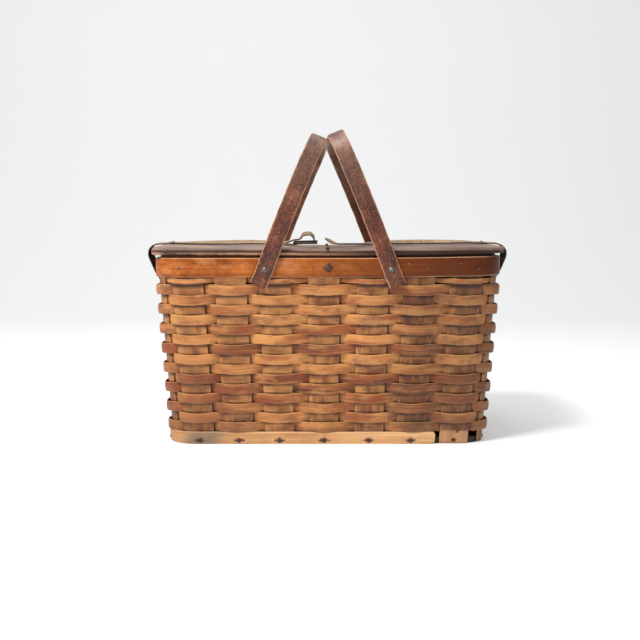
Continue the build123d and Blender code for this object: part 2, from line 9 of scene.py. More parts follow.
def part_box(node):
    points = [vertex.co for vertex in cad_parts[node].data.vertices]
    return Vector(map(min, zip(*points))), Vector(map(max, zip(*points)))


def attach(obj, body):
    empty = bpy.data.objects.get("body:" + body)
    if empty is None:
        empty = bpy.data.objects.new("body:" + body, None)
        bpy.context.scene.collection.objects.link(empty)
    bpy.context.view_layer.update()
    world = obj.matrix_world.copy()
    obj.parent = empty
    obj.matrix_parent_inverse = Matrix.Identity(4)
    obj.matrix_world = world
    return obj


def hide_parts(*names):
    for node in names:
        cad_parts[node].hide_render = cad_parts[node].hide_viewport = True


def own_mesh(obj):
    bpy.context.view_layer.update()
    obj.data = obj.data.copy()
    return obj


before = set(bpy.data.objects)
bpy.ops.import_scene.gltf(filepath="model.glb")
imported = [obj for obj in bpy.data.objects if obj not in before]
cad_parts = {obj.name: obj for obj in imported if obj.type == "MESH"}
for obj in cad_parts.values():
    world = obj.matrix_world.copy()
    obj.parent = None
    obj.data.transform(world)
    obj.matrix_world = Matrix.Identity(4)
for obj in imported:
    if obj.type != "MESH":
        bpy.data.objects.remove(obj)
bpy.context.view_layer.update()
print("frame loaded:", len(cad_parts), "nodes")

# sizes shared by several pieces, in metres; the plan is that of the stakes' middle at the rim
basket = {
    "halfLength": 0.22485, "halfDepth": 0.14085, "cornerRadius": 0.03485, "slope": 0.065, "rimBottom": 0.2239,
    "stakeWidth": 0.0415, "stakeThickness": 0.0019, "rows": 16, "warpStart": 0.03, "warpPower": 1.6,
    "frontStakes": [-0.18492, -0.12834, -0.06992, -0.00552, 0.05888, 0.12006, 0.18216],
    "endStakes": [-0.112128, -0.056064, 0, 0.056064, 0.112128],
}
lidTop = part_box("lid_left")[1][2]
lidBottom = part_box("lid_left")[0][2]
leanOut = math.atan(basket["slope"])


def clamp(value):
    return max(0.0, min(1.0, value))


def smooth(share):
    return share * share * (3 - 2 * share)


def uneven(x, y, z, height):  # what makes hand-made edges uneven
    return noise.noise(Vector((x, y, z))) * height


def middleHeight(node):
    return sum(corner[2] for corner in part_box(node)) / 2


def warpUp(x, most, reach):  # the right end of the rim and of the lid stands a little higher
    return most * clamp((x - basket["warpStart"]) / reach) ** basket["warpPower"]


def srgb(color):  # a colour as seen, in 0-255, to the linear values that sockets take
    return tuple((v / 255 / 12.92) if v / 255 <= 0.04045 else ((v / 255 + 0.055) / 1.055) ** 2.4 for v in color)


# sockets with arithmetic: each operator adds its Math node
class Wire:
    def __init__(self, builder, socket):
        self.builder = builder
        self.socket = socket

    def __add__(self, other): return self.builder.math("ADD", self, other)
    def __radd__(self, other): return self.builder.math("ADD", other, self)
    def __sub__(self, other): return self.builder.math("SUBTRACT", self, other)
    def __rsub__(self, other): return self.builder.math("SUBTRACT", other, self)
    def __mul__(self, other): return self.builder.math("MULTIPLY", self, other)
    def __rmul__(self, other): return self.builder.math("MULTIPLY", other, self)


class Builder:  # adds nodes to a tree, for shaders and for Geometry Nodes
    def __init__(self, tree):
        self.tree = tree

    def add(self, kind, settings=None, sockets=None):
        made = self.tree.nodes.new(kind)
        for key, value in (settings or {}).items():
            if key == "stops":
                ramp = made.color_ramp
                while len(ramp.elements) < len(value):
                    ramp.elements.new(0.5)
                for element, (position, color) in zip(ramp.elements, value):
                    element.position = position
                    element.color = (*color, 1)
            else:
                setattr(made, key, value)
        for key, value in (sockets or {}).items():
            for item in value if isinstance(value, list) else [value]:  # a list of wires for a join
                if isinstance(item, Wire):
                    self.tree.links.new(item.socket, made.inputs[key])
                else:
                    made.inputs[key].default_value = item
        return made

    def wire(self, kind, settings=None, sockets=None, output=0):
        return Wire(self, self.add(kind, settings, sockets).outputs[output])

    def math(self, operation, a, b=0.0):
        return self.wire("ShaderNodeMath", {"operation": operation}, {0: a, 1: b})


class Finish(Builder):
    def __init__(self, name, specular=0.5, coat=0.0, coatRoughness=0.2, grained=False, metallic=0.0):
        self.material = bpy.data.materials.new(name)
        self.material.use_nodes = True
        super().__init__(self.material.node_tree)
        self.tree.nodes.clear()
        self.shader = self.add("ShaderNodeBsdfPrincipled", {}, {
            "Metallic": metallic, "Specular IOR Level": specular, "Coat Weight": coat, "Coat Roughness": coatRoughness})
        self.add("ShaderNodeOutputMaterial", {}, {0: Wire(self, self.shader.outputs[0])})
        self.place = self.wire("ShaderNodeTexCoord", output="Object")
        self.grain = self.attribute("grain", "Vector") if grained else self.place
        self.color = None

    def noise(self, place, scale, detail=3.0, roughness=0.55, distortion=0.0):
        return self.wire("ShaderNodeTexNoise", {}, {
            "Vector": place, "Scale": scale, "Detail": detail, "Roughness": roughness, "Distortion": distortion})

    def stretch(self, place, scale, shift=(0, 0, 0)):  # a Mapping node: scales and shifts a pattern's place
        return self.wire("ShaderNodeMapping", {}, {"Vector": place, "Scale": scale, "Location": shift})

    def fibres(self, scale, detail=3.0, roughness=0.55, distortion=0.0, shift=(0, 0, 0)):  # drawn out along the grain
        return self.noise(self.stretch(self.grain, scale, shift), 1.0, detail, roughness, distortion)

    def axis(self, letter, place=None):
        return self.wire("ShaderNodeSeparateXYZ", {}, {0: place or self.place}, letter)

    def attribute(self, name, output="Fac"):
        return self.wire("ShaderNodeAttribute", {"attribute_name": name}, {}, output)

    def between(self, value, low, high, start=0.0, end=1.0):  # a smooth step from low to high
        return self.wire("ShaderNodeMapRange", {"interpolation_type": "SMOOTHSTEP"}, {
            0: value, 1: low, 2: high, 3: start, 4: end})

    def ramp(self, value, stops, shine=None):  # shine adds a last stop, that much brighter than the one before
        linear = [(position, srgb(color)) for position, color in stops]
        if shine:
            linear.append((1.0, tuple(min(1, c * shine) for c in linear[-1][1])))
        return self.wire("ShaderNodeValToRGB", {"stops": linear}, {0: value})

    def layer(self, share, color):  # lays a colour or a ramp over what is there
        color = color if isinstance(color, Wire) else (*srgb(color), 1)
        self.color = self.wire("ShaderNodeMix", {"data_type": "RGBA"}, {0: share, 6: self.color, 7: color}, 2)

    def done(self, roughness, height, depth, strength, metallic=None):
        bump = self.wire("ShaderNodeBump", {}, {"Strength": strength, "Distance": depth, "Height": height})
        wires = {"Base Color": self.color, "Roughness": roughness, "Metallic": metallic, "Normal": bump}
        for key, value in wires.items():
            if value is not None:
                self.tree.links.new(value.socket, self.shader.inputs[key])
        return self.material


def nailStain(wood, strength, wide, tall):  # rust round the nails; "nail" is the way from the nearest one
    reach = wood.attribute("nail", "Vector")
    x, y, z = (wood.math("ABSOLUTE", wood.axis(letter, reach)) for letter in "XYZ")
    gap = (x + y) * (1 / wide) + z * (1 / tall)
    ragged = wood.noise(wood.place, 260, 4, 0.75) - 0.5
    return wood.between(gap + ragged * 1.8, 1.15, 0.55) * strength


# Splints carry grain = (along, across, number) in metres, and tint, nearness to the edges, painted shade in the slits
# beside the stakes, and pale from 0 to 1.
# lines is the share of fine lines along the splint; with fewer, broad patches lie across it.
def makeSplintWood(name, light, middle, dark, red, crack, nails=False, lines=1.0):
    wood = Finish(name, 0.35, 0.08, 0.35, True)
    x, z = wood.axis("X"), wood.axis("Z")
    tint, wear, stain, pale = (wood.attribute(key) for key in ("tint", "wear", "stain", "pale"))
    fibre, streak = wood.fibres((18, 900, 31), 4, 0.6), wood.fibres((7, 260, 17), 3, 0.6, 0.3)
    broad = wood.fibres((26, 70, 13), 3, 0.6, 0.5)
    tone = (streak * 0.55 + fibre * 0.3) * lines + broad * (0.35 + 0.85 * (1 - lines)) + tint * 0.36 - 0.2
    wood.color = wood.ramp(wood.between(tone, 0.22, 0.86), [(0.0, dark), (0.34, middle), (0.68, light)], 1.25)
    long, short = (24, 45) if lines == 1.0 else (85, 14)
    honey = wood.between(wood.fibres((long, short, 29), 3, 0.6, shift=(8, 2, 1)), 0.5, 0.66)
    plum = wood.between(wood.fibres((long, short * 1.3, 37), 4, 0.65, shift=(1, 6, 4)), 0.52, 0.68)
    reddish = wood.between(wood.fibres((long * 0.7, short, 41), shift=(3, 1, 5)), 0.46, 0.66)
    wood.layer(honey * 0.6, (202, 144, 82))
    wood.layer(plum * 0.65, (106, 62, 48))
    wood.layer(reddish * 0.75 * (1 - wear), red)
    cloud = wood.noise(wood.place, 11, 4, 0.6)
    drift = cloud - 0.5
    blotch = wood.between(wood.noise(wood.place, 34, 4, 0.65), 0.5, 0.72)
    wood.layer(blotch * 0.35, (96, 66, 44))
    leftward, low = wood.between(x + drift * 0.16, -0.05, -0.2), wood.between(z + drift * 0.1, 0.2, 0.04)
    wood.layer(leftward * low * 0.5, (122, 62, 38))
    wood.layer(wood.between(x + drift * 0.2, 0.02, 0.2) * wood.between(blotch + streak, 0.4, 0.9) * 0.3, (112, 84, 60))
    wood.layer(wood.between(x + drift * 0.08, 0.03, 0.15) * 0.36, (50, 27, 14))
    wood.layer(wood.between(z + drift * 0.05, 0.07, 0.02) * wood.between(streak + cloud, 0.8, 1.2) * 0.5, (92, 58, 40))
    line = wood.between(fibre, 0.33, 0.2) * crack
    wood.layer(line, dark)
    # light along the edges: partly worn edges, partly painted highlight on the strips' edges
    wood.layer(wood.between(wear + fibre * 0.4, 0.75, 1.15) * 0.6, (212, 164, 112))
    bare = wood.ramp(streak, [(0.3, (168, 116, 76)), (0.7, (216, 168, 118))])
    wood.layer(wood.between(pale + (fibre - 0.5) * 0.5, 0.3, 0.7) * 0.85, bare)
    # painted shade in the slits beside the stakes, where the weavers dive under them
    wood.layer(wood.between(stain + (fibre - 0.5) * 0.5 + (streak - 0.5) * 0.4, 0.25, 0.85) * 0.85, (40, 22, 15))
    if nails:
        wood.layer(nailStain(wood, 0.8, 0.006, 0.004), (62, 28, 18))
        # painted shadow on the stakes just under each strip that passes over them, and weaker painted shade just above
        # the strip below
        phase = wood.math("FRACT", wood.attribute("phase") + drift * 0.05)  # 0 at the middle of a strip passing over
        woven = wood.between(z, 0.016, 0.019)
        wood.layer(wood.between(phase, 0.54, 0.74) * woven * 0.85, (48, 22, 12))
        wood.layer(wood.between(phase, 0.33, 0.26) * woven * 0.5, (60, 32, 18))
    return wood.done(0.4 + fibre * 0.24 + wear * 0.1, fibre * 0.5 + streak * 0.5 - line * 0.6, 0.00025, 0.8)


weaverWood = makeSplintWood("weaverSplint", (198, 134, 74), (158, 92, 48), (66, 32, 17), (146, 66, 30), 0.3)
stakeWood = makeSplintWood("stakeSplint", (196, 134, 76), (160, 98, 54), (92, 52, 34), (142, 74, 42), 0.0, True, 0.22)


def makeRimWood(name, paintedShade, nails):  # orange brown varnish, redder where it is scuffed, darker towards the right; the second argument darkens it all over as painted shade
    wood = Finish(name, 0.2, 0.07, 0.3, True)
    x, wear = wood.axis("X"), wood.attribute("wear")
    fibre, streak = wood.fibres((14, 700, 3), 4, 0.6), wood.fibres((5, 150, 3), 3, 0.6, 0.4)
    cloud = wood.noise(wood.place, 22, 4, 0.6)
    wood.color = wood.ramp(wood.between(streak * 0.5 + fibre * 0.25 + cloud * 0.55 - 0.15, 0.2, 0.85), [
        (0.0, (102, 44, 12)), (0.4, (160, 82, 26)), (0.75, (194, 112, 46)), (1.0, (214, 140, 76))])
    wood.layer(wood.between(x + (cloud - 0.5) * 0.1, -0.1, 0.2) * 0.9, (68, 24, 3))
    scuff = wood.between(wood.noise(wood.stretch(wood.place, (1, 1, 3)), 60, 4, 0.7), 0.52, 0.6)
    scuff = scuff * wood.between(x, -0.12, -0.2)
    wood.layer(scuff * wood.between(wood.axis("Z"), 0.2375, 0.2335) * 0.9, (112, 30, 12))
    dent = wood.between(wood.noise(wood.place, 240, 3, 0.7), 0.6, 0.68)
    wood.layer(dent * 0.4, (96, 48, 26))
    wood.layer(wood.between(wear + fibre * 0.5 + cloud * 0.3, 0.95, 1.3) * 0.6, (222, 178, 134))
    if nails:
        wood.layer(nailStain(wood, 0.85, 0.0030, 0.0026), (48, 22, 12))
    # painted sheen: lighter patches on the left, where the varnish catches the light
    glossy = wood.between(wood.noise(wood.stretch(wood.place, (1, 1, 1.6)), 46, 3, 0.6), 0.46, 0.7)
    wood.layer(glossy * wood.between(x, 0.08, -0.06) * 0.35, (220, 152, 104))
    # painted shade: darkens the whole band by the given share
    wood.layer(paintedShade, (30, 16, 9))
    return wood.done(0.34 + cloud * 0.18 + scuff * 0.2, fibre * 0.5 + streak * 0.4 - dent * 0.4, 0.0002, 0.6)


rimWood = makeRimWood("rimVarnish", 0.0, True)
# the inner rim darkened all over: painted shade of the gap under the lids
innerWood = makeRimWood("innerRimWood", 0.6, False)


def makeBaseWood():  # pale bare wood, with a grey stain and rust round its nails
    wood = Finish("baseBandWood", 0.3, grained=True)
    x, wear = wood.axis("X"), wood.attribute("wear")
    fibre, streak = wood.fibres((14, 800, 3), 4, 0.65), wood.fibres((6, 200, 3), 3, 0.6, 0.5)
    cloud = wood.noise(wood.place, 18, 4, 0.6)
    wood.color = wood.ramp(wood.between(streak * 0.5 + fibre * 0.3 + cloud * 0.35 - 0.1, 0.2, 0.85), [
        (0.0, (172, 116, 70)), (0.4, (218, 166, 114)), (0.8, (240, 196, 146)), (1.0, (250, 218, 174))])
    wood.layer(wood.between(x + (cloud - 0.5) * 0.12, -0.08, -0.16) * 0.5, (150, 98, 58))
    edge = x + (cloud - 0.5) * 0.03 + (streak - 0.5) * 0.03
    gray = wood.between(edge, -0.196, -0.176) * wood.between(edge, -0.126, -0.152)
    wood.layer(gray * wood.between(cloud + streak * 0.9, 0.6, 1.05) * 0.75, (118, 108, 94))
    wood.layer(wood.between(cloud, 0.55, 0.75) * 0.4, (160, 100, 60))
    wood.layer(wood.between(fibre, 0.34, 0.22) * 0.5, (96, 60, 38))
    wood.layer(nailStain(wood, 0.92, 0.0105, 0.0052), (78, 34, 22))
    wood.layer(wood.between(wear + fibre * 0.5, 0.9, 1.3) * 0.4, (238, 216, 186))
    return wood.done(0.62 + fibre * 0.2, fibre * 0.6 + streak * 0.5, 0.0003, 0.8)


baseWood = makeBaseWood()


def makeBoardWood(name, top, side, worn):  # weathered boards, dark at the edges and worn through along them
    wood = Finish(name, 0.35, 0.06, 0.4)
    x, z = wood.axis("X"), wood.axis("Z")
    fibre, streak = wood.fibres((12, 420, 420), 4, 0.65), wood.fibres((5, 120, 120), 3, 0.6, 0.6)
    cloud = wood.noise(wood.place, 16, 4, 0.65)
    drift = cloud - 0.5
    wood.color = wood.ramp(wood.between(streak * 0.45 + fibre * 0.3 + cloud * 0.5 - 0.12, 0.2, 0.85),
                           [(0.0, top[0]), (0.45, top[1]), (0.85, top[2])])
    sides = wood.between(z + (streak - 0.5) * 0.004, lidTop + 0.0008, lidTop - 0.0012)
    wood.layer(sides, wood.ramp(wood.between(fibre * 0.5 + cloud * 0.7, 0.35, 0.85),
                                [(0.0, side[0]), (0.6, side[1]), (1.0, side[2])]))
    rightward = wood.between(x + drift * 0.1, -0.06, 0.12)
    edge = z + drift * 0.004 + (fibre - 0.5) * 0.002 + rightward * 0.0016
    low = wood.between(edge, lidBottom + 0.0048, lidBottom + 0.0022)
    wood.layer(low * wood.between(cloud + fibre * 0.3, 0.4, 0.7) * 0.7, worn)
    wood.layer(rightward * 0.45, (62, 38, 26))
    wood.layer(rightward * sides * 0.75, (34, 15, 6))
    wood.layer(wood.between(edge, lidBottom + 0.0011, lidBottom + 0.0005) * 0.8, (36, 20, 13))
    wood.layer(wood.between(fibre, 0.3, 0.2) * 0.5, side[0])
    return wood.done(0.5 + fibre * 0.25, fibre * 0.6 + streak * 0.5, 0.00035, 0.7)


lidWood = makeBoardWood("lidBoard", [(70, 50, 42), (128, 102, 88), (176, 148, 132)],
                        [(34, 16, 9), (76, 44, 31), (138, 96, 72)], (206, 158, 122))


def makeHandleWood():  # dark varnish, flaking and worn along its edges, with a painted sheen, paler and greyer, towards the grips where the bends face the light from above
    wood = Finish("handleVarnish", 0.45, 0.2, 0.35, True)
    wear = wood.attribute("wear")
    fibre, streak = wood.fibres((16, 620, 5), 4, 0.65), wood.fibres((9, 160, 5), 3, 0.6, 0.6)
    flake, cloud = wood.noise(wood.place, 260, 4, 0.7), wood.noise(wood.place, 26, 4, 0.6)
    tone = wood.between(streak * 0.3 + fibre * 0.2 + cloud * 0.75 + flake * 0.4 - 0.34, 0.26, 0.74)
    wood.color = wood.ramp(tone, [(0.0, (38, 13, 7)), (0.35, (78, 32, 17)), (0.7, (110, 54, 31)), (1.0, (150, 94, 62))])
    # painted sheen: paler and greyer at the top, where the bends face the light from above
    high = wood.between(wood.axis("Z"), 0.30, 0.42)
    wood.layer(high * 0.65 * wood.between(cloud + flake * 0.4, 0.35, 0.85), (150, 116, 100))
    chip = wood.between(wood.fibres((330, 520, 5), 4, 0.75), 0.56, 0.64)
    pit = wood.between(wood.fibres((150, 260, 7), 4, 0.75, shift=(2, 3, 1)), 0.44, 0.36)
    wood.layer(chip * 0.7, (188, 134, 96))
    wood.layer(pit * 0.8, (34, 12, 7))
    wood.layer(wood.between(wear * 0.9 + flake * 0.5 + cloud * 0.5, 0.84, 1.2) * 0.9, (192, 142, 102))
    return wood.done(0.4 + flake * 0.3, fibre * 0.35 + flake * 0.5 - chip * 0.5, 0.0004, 0.7)


handleWood = makeHandleWood()


def makeLeather():  # pale tan outside and dark at its edges; its inner side dark, partly its own colour and partly painted shade
    hide = Finish("strapLeather", 0.35, grained=True)
    wear, under = hide.attribute("wear"), hide.attribute("under")
    pebble = hide.wire("ShaderNodeTexVoronoi", {}, {"Vector": hide.place, "Scale": 900}, "Distance")
    crease, cloud = hide.fibres((160, 40, 40), 3, 0.6, 0.4), hide.noise(hide.place, 40, 4, 0.65)
    hide.color = hide.ramp(hide.between(cloud * 0.7 + crease * 0.4, 0.3, 0.85), [
        (0.0, (96, 74, 50)), (0.4, (142, 116, 86)), (1.0, (180, 156, 126))])
    hide.layer(hide.between(crease, 0.36, 0.26) * 0.6, (78, 50, 28))
    hide.layer(hide.between(wear + cloud * 0.3, 0.6, 0.9) * 0.9, (52, 30, 17))
    # the inner side dark: partly the leather's own colour, partly painted shade
    hide.layer(under, (26, 14, 9))
    return hide.done(0.62 + cloud * 0.2, pebble * 0.5 + crease * 0.8, 0.0003, 0.6)


strapLeather = makeLeather()


def makeIron(name, base, rust, bright, metallic=0.75):
    iron = Finish(name, metallic=metallic)
    patch, spot = iron.noise(iron.place, 420, 4, 0.7), iron.noise(iron.place, 1500, 3, 0.6)
    iron.color = iron.ramp(iron.between(patch * 0.7 + spot * 0.4, 0.35, 0.8), [(0.0, rust), (0.5, base), (1.0, bright)])
    return iron.done(0.42 + patch * 0.3, patch * 0.5 + spot * 0.5, 0.0002, 0.5,
                     iron.between(patch, 0.35, 0.55, metallic * 0.4, metallic))


darkIron = makeIron("darkIron", (70, 58, 52), (66, 32, 18), (112, 100, 94))
makeIron("rustIron", (88, 54, 42), (48, 24, 15), (150, 112, 96), 0.35)
makeIron("nailSteel", (112, 92, 78), (56, 32, 20), (186, 176, 166), 0.7)
makeIron("rivetSteel", (122, 122, 118), (72, 60, 50), (176, 182, 178), 0.9)
makeIron("hingeBrass", (150, 116, 66), (84, 56, 30), (196, 164, 104), 0.9)
print("finishes made")


# The wall's plan: a point a distance along the wall at the rim, outward of the stakes
def wallRuns():
    straights = [2 * (half - basket["cornerRadius"]) for half in (basket["halfLength"], basket["halfDepth"])]
    return [(straights[side % 2], basket["cornerRadius"] * math.pi / 2) for side in range(4)]


wallLength = sum(straight + arc for straight, arc in wallRuns())


def sideMiddle(side):
    return sum(straight + arc for straight, arc in wallRuns()[:side]) + wallRuns()[side][0] / 2


def wallPoint(z, distance, outward=0.0):
    inward = basket["slope"] * max(basket["rimBottom"] - z, 0)
    halves = (basket["halfLength"] - inward, basket["halfDepth"] - inward)
    radius = basket["cornerRadius"]
    distance %= wallLength
    for side, (straight, arc) in enumerate(wallRuns()):
        along, out = halves[side % 2] - radius, halves[(side + 1) % 2]
        if distance <= straight:
            x, y, wayX, wayY = along * (2 * distance / straight - 1), -out - outward, 0.0, -1.0
            break
        distance -= straight
        if distance <= arc:
            turn = distance / radius
            wayX, wayY = math.sin(turn), -math.cos(turn)
            x, y = along + (radius + outward) * wayX, radius - out + (radius + outward) * wayY
            break
        distance -= arc
    for _ in range(side):
        x, y, wayX, wayY = -y, x, -wayY, wayX
    return Vector((x, y, z)), Vector((wayX, wayY, 0))


frontPlaces, endPlaces = basket["frontStakes"], basket["endStakes"]
stakePlaces = ([sideMiddle(0) + x for x in frontPlaces] + [sideMiddle(1) + y for y in endPlaces]
               + [sideMiddle(2) - x for x in reversed(frontPlaces)] + [sideMiddle(3) + y for y in endPlaces])


def toScene(name, mesh):
    piece = bpy.data.objects.new(name, mesh)
    bpy.context.collection.objects.link(piece)
    return piece


def keepMesh(source, name, material=None):  # the evaluated result as a plain mesh, its source removed
    graph = bpy.context.evaluated_depsgraph_get()
    mesh = bpy.data.meshes.new_from_object(source.evaluated_get(graph), preserve_all_data_layers=True, depsgraph=graph)
    bpy.data.objects.remove(source)
    if material:
        mesh.materials.clear()
        mesh.materials.append(material)
    return toScene(name, mesh)


def addLayers(mesh, layers):  # point attributes, each from a list of numbers or of vectors
    for key, values in layers.items():
        vectors = hasattr(values[0], "__len__")
        layer = mesh.attributes.new(key, "FLOAT_VECTOR" if vectors else "FLOAT", "POINT")
        layer.data.foreach_set("vector" if vectors else "value", [c for v in values for c in v] if vectors else values)


def tubeFaces(size, last, base=0):  # the faces between rings of points, and one at each end
    faces = []
    for ring in range(last):
        for column in range(size):
            a, b = base + ring * size + column, base + ring * size + (column + 1) % size
            faces.append((a, b, b + size, a + size))
    return faces + [tuple(base + column for column in reversed(range(size))),
                    tuple(base + last * size + column for column in range(size))]


def closedPiece(name, verts, faces, layers, material):  # its faces are turned outwards
    mesh = bpy.data.meshes.new(name)
    mesh.from_pydata(verts, [], faces)
    addLayers(mesh, layers)
    work = bmesh.new()
    work.from_mesh(mesh)
    bmesh.ops.recalc_face_normals(work, faces=work.faces)
    work.to_mesh(mesh)
    work.free()
    mesh.shade_smooth()
    mesh.materials.append(material)
    return toScene(name, mesh)


# Geometry Nodes: a tree whose inputs are geometry, the named numbers and a material
class Maker(Builder):
    def __init__(self, name, *numbers):
        super().__init__(bpy.data.node_groups.new(name, "GeometryNodeTree"))
        kinds = {"Geometry": "Geometry", **dict.fromkeys(numbers, "Float"), "Material": "Material"}
        for key, kind in kinds.items():
            self.tree.interface.new_socket(key, in_out="INPUT", socket_type="NodeSocket" + kind)
        self.tree.interface.new_socket("Geometry", in_out="OUTPUT", socket_type="NodeSocketGeometry")
        self.given = {socket.name: Wire(self, socket) for socket in self.add("NodeGroupInput").outputs}

    def vector(self, x=0.0, y=0.0, z=0.0):
        return self.wire("ShaderNodeCombineXYZ", {}, {0: x, 1: y, 2: z})

    def scaled(self, vector, scale):
        return self.wire("ShaderNodeVectorMath", {"operation": "SCALE"}, {0: vector, "Scale": scale})

    def store(self, geometry, name, value, kind="FLOAT"):
        return self.wire("GeometryNodeStoreNamedAttribute", {"data_type": kind, "domain": "POINT"},
                         {"Geometry": geometry, "Name": name, "Value": value})

    def read(self, name, kind="FLOAT"):
        return self.wire("GeometryNodeInputNamedAttribute", {"data_type": kind}, {"Name": name})

    def finish(self, geometry):  # shaded smooth, instances made real and the material set
        shaded = self.wire("GeometryNodeSetShadeSmooth", {}, {0: geometry, "Shade Smooth": True})
        real = self.wire("GeometryNodeRealizeInstances", {}, {0: shaded})
        done = self.wire("GeometryNodeSetMaterial", {}, {"Geometry": real, "Material": self.given["Material"]})
        self.add("NodeGroupOutput", {}, {0: done})
        return self.tree


def useTree(source, tree, values):
    modifier = source.modifiers.new(tree.name, "NODES")
    modifier.node_group = tree
    for item in tree.interface.items_tree:
        if item.in_out == "INPUT" and item.name in values:
            modifier[item.identifier] = values[item.name]


# A splint strip along a path. The path's points carry along, lift (how far outward, in metres), outward and widen.
def makeSplintTree():
    maker = Maker("splintStrip", "Width", "Thickness", "Crown", "Lean", "Wander", "Ripple", "Frayed", "Seed", "Tint")
    given = maker.given
    along, outward = maker.read("along"), maker.read("outward", "FLOAT_VECTOR")
    lifted = maker.scaled(outward, maker.read("lift"))
    moved = maker.wire("GeometryNodeSetPosition", {}, {"Geometry": given["Geometry"], "Offset": lifted})
    curve = maker.wire("GeometryNodeMeshToCurve", {}, {0: moved})
    curve = maker.wire("GeometryNodeSetCurveNormal", {"mode": "Z_UP"}, {0: curve})
    curve = maker.wire("GeometryNodeSetCurveTilt", {}, {"Curve": curve, "Tilt": given["Lean"]})
    # the strip's section: a flattened loop with full corners, crowned on both faces
    ring = maker.wire("GeometryNodeCurvePrimitiveCircle", {"mode": "RADIUS"}, {"Resolution": 20, "Radius": 1.0})
    split = maker.add("ShaderNodeSeparateXYZ", {}, {0: maker.wire("GeometryNodeInputPosition")})

    def fuller(socket):
        value = Wire(maker, socket)
        return maker.math("SIGN", value) * maker.math("POWER", maker.math("ABSOLUTE", value), 0.36)
    face, across = fuller(split.outputs[0]), fuller(split.outputs[1])
    section = maker.vector(face * (given["Thickness"] * 0.5) + given["Crown"] * (1.0 - across * across),
                           across * (given["Width"] * 0.5))
    ring = maker.store(ring, "across", across)
    ring = maker.wire("GeometryNodeSetPosition", {}, {"Geometry": ring, "Position": section})
    strip = maker.wire("GeometryNodeCurveToMesh", {}, {"Curve": curve, "Profile Curve": ring, "Fill Caps": True})
    # hand-split edges: the strip wanders up and down, and each edge has its own small waves
    across = maker.read("across")

    def waves(scale, shift, second=0.0):
        place = maker.vector(along * scale, given["Seed"] + shift, second)
        return maker.wire("ShaderNodeTexNoise", {"noise_dimensions": "3D"}, {
            "Vector": place, "Scale": 1.0, "Detail": 2.0}) - 0.5
    edges = waves(130, 7.0, maker.math("SIGN", across) * 5.0) * (across * given["Frayed"])
    rise = waves(11, 1.0) * given["Wander"] + (edges - across * given["Width"] * maker.read("widen"))
    ripple = (waves(60, 3.0, across * 0.6) + waves(17, 13.0) * across) * given["Ripple"]
    offset = maker.wire("ShaderNodeVectorMath", {"operation": "ADD"}, {
        0: maker.scaled(outward, ripple), 1: maker.vector(0.0, 0.0, rise)})
    strip = maker.wire("GeometryNodeSetPosition", {}, {"Geometry": strip, "Offset": offset})
    grain = maker.vector(along, across * (given["Width"] * 0.5), given["Seed"])
    strip = maker.store(strip, "grain", grain, "FLOAT_VECTOR")
    strip = maker.store(strip, "tint", given["Tint"])
    strip = maker.store(strip, "wear", maker.math("POWER", maker.math("ABSOLUTE", across), 6.0))
    return maker.finish(strip)


splintTree = makeSplintTree()


def splintPiece(name, spots, closed, layers, values):  # a strip through points of the wall
    mesh = bpy.data.meshes.new(name)
    count = len(spots)
    links = [(i, (i + 1) % count) for i in range(count if closed else count - 1)]
    mesh.from_pydata([spot for spot, way in spots], links, [])
    addLayers(mesh, {**layers, "outward": [way for spot, way in spots]})
    path = toScene("path", mesh)
    useTree(path, splintTree, values)
    return keepMesh(path, name)


# Weavers: one strip for each row, over one stake and under the next
# the last three entries set the painted shade in the slits where a strip dives under a stake: its strength, its reach,
# and its share on the side towards the light
weave = {"thickness": 0.0015, "play": 0.00085, "puff": 0.0026, "sag": 0.0003, "hold": 0.0005, "crown": 0.0006,
         "wander": 0.0008, "ripple": 0.0008, "frayed": 0.0012, "step": 0.0026, "seed": 11, "fuller": 1.03,
         "widen": 0.016, "widenTop": -0.02, "widenLow": 0.01, "widenOver": -0.016, "wanderTop": 0.4, "frayedLow": 1.7,
         "dipOver": 0.0013, "riseUnder": 0.0005, "paintedShade": 0.9, "shadeReach": 0.0034, "lightSide": 0.3}


def weaveLift(distance, firstOver):  # how far out and down the strip runs, its share of passing over, and its painted shade in the slits beside the stakes
    reach = basket["stakeWidth"] / 2 + weave["hold"]
    level = (basket["stakeThickness"] + weave["thickness"]) / 2 + weave["play"]
    for number, place in enumerate(stakePlaces):
        over = 1 if (number % 2 == 0) == firstOver else -1
        gap = (distance - place + wallLength / 2) % wallLength - wallLength / 2
        if abs(gap) <= reach:
            bow = math.cos(gap / reach * math.pi / 2)
            puff, dip = (weave["puff"], -weave["dipOver"]) if over > 0 else (-weave["sag"], weave["riseUnder"])
            return level * over + puff * bow, bow * dip, max(over, 0) * bow, 0.0
        space = (stakePlaces[(number + 1) % len(stakePlaces)] - place) % wallLength - 2 * reach
        part = (distance - place) % wallLength - reach
        if 0 < part < space:
            hidden = part if over < 0 else space - part
            # painted shade where the strip dives under a stake, weaker on the side towards the light
            paintedShade = math.exp(-(hidden / weave["shadeReach"]) ** 2) * (1.0 if over < 0 else weave["lightSide"])
            return level * over * math.cos(part / space * math.pi), 0.0, 0.0, paintedShade
    return 0.0, 0.0, 0.0, 0.0


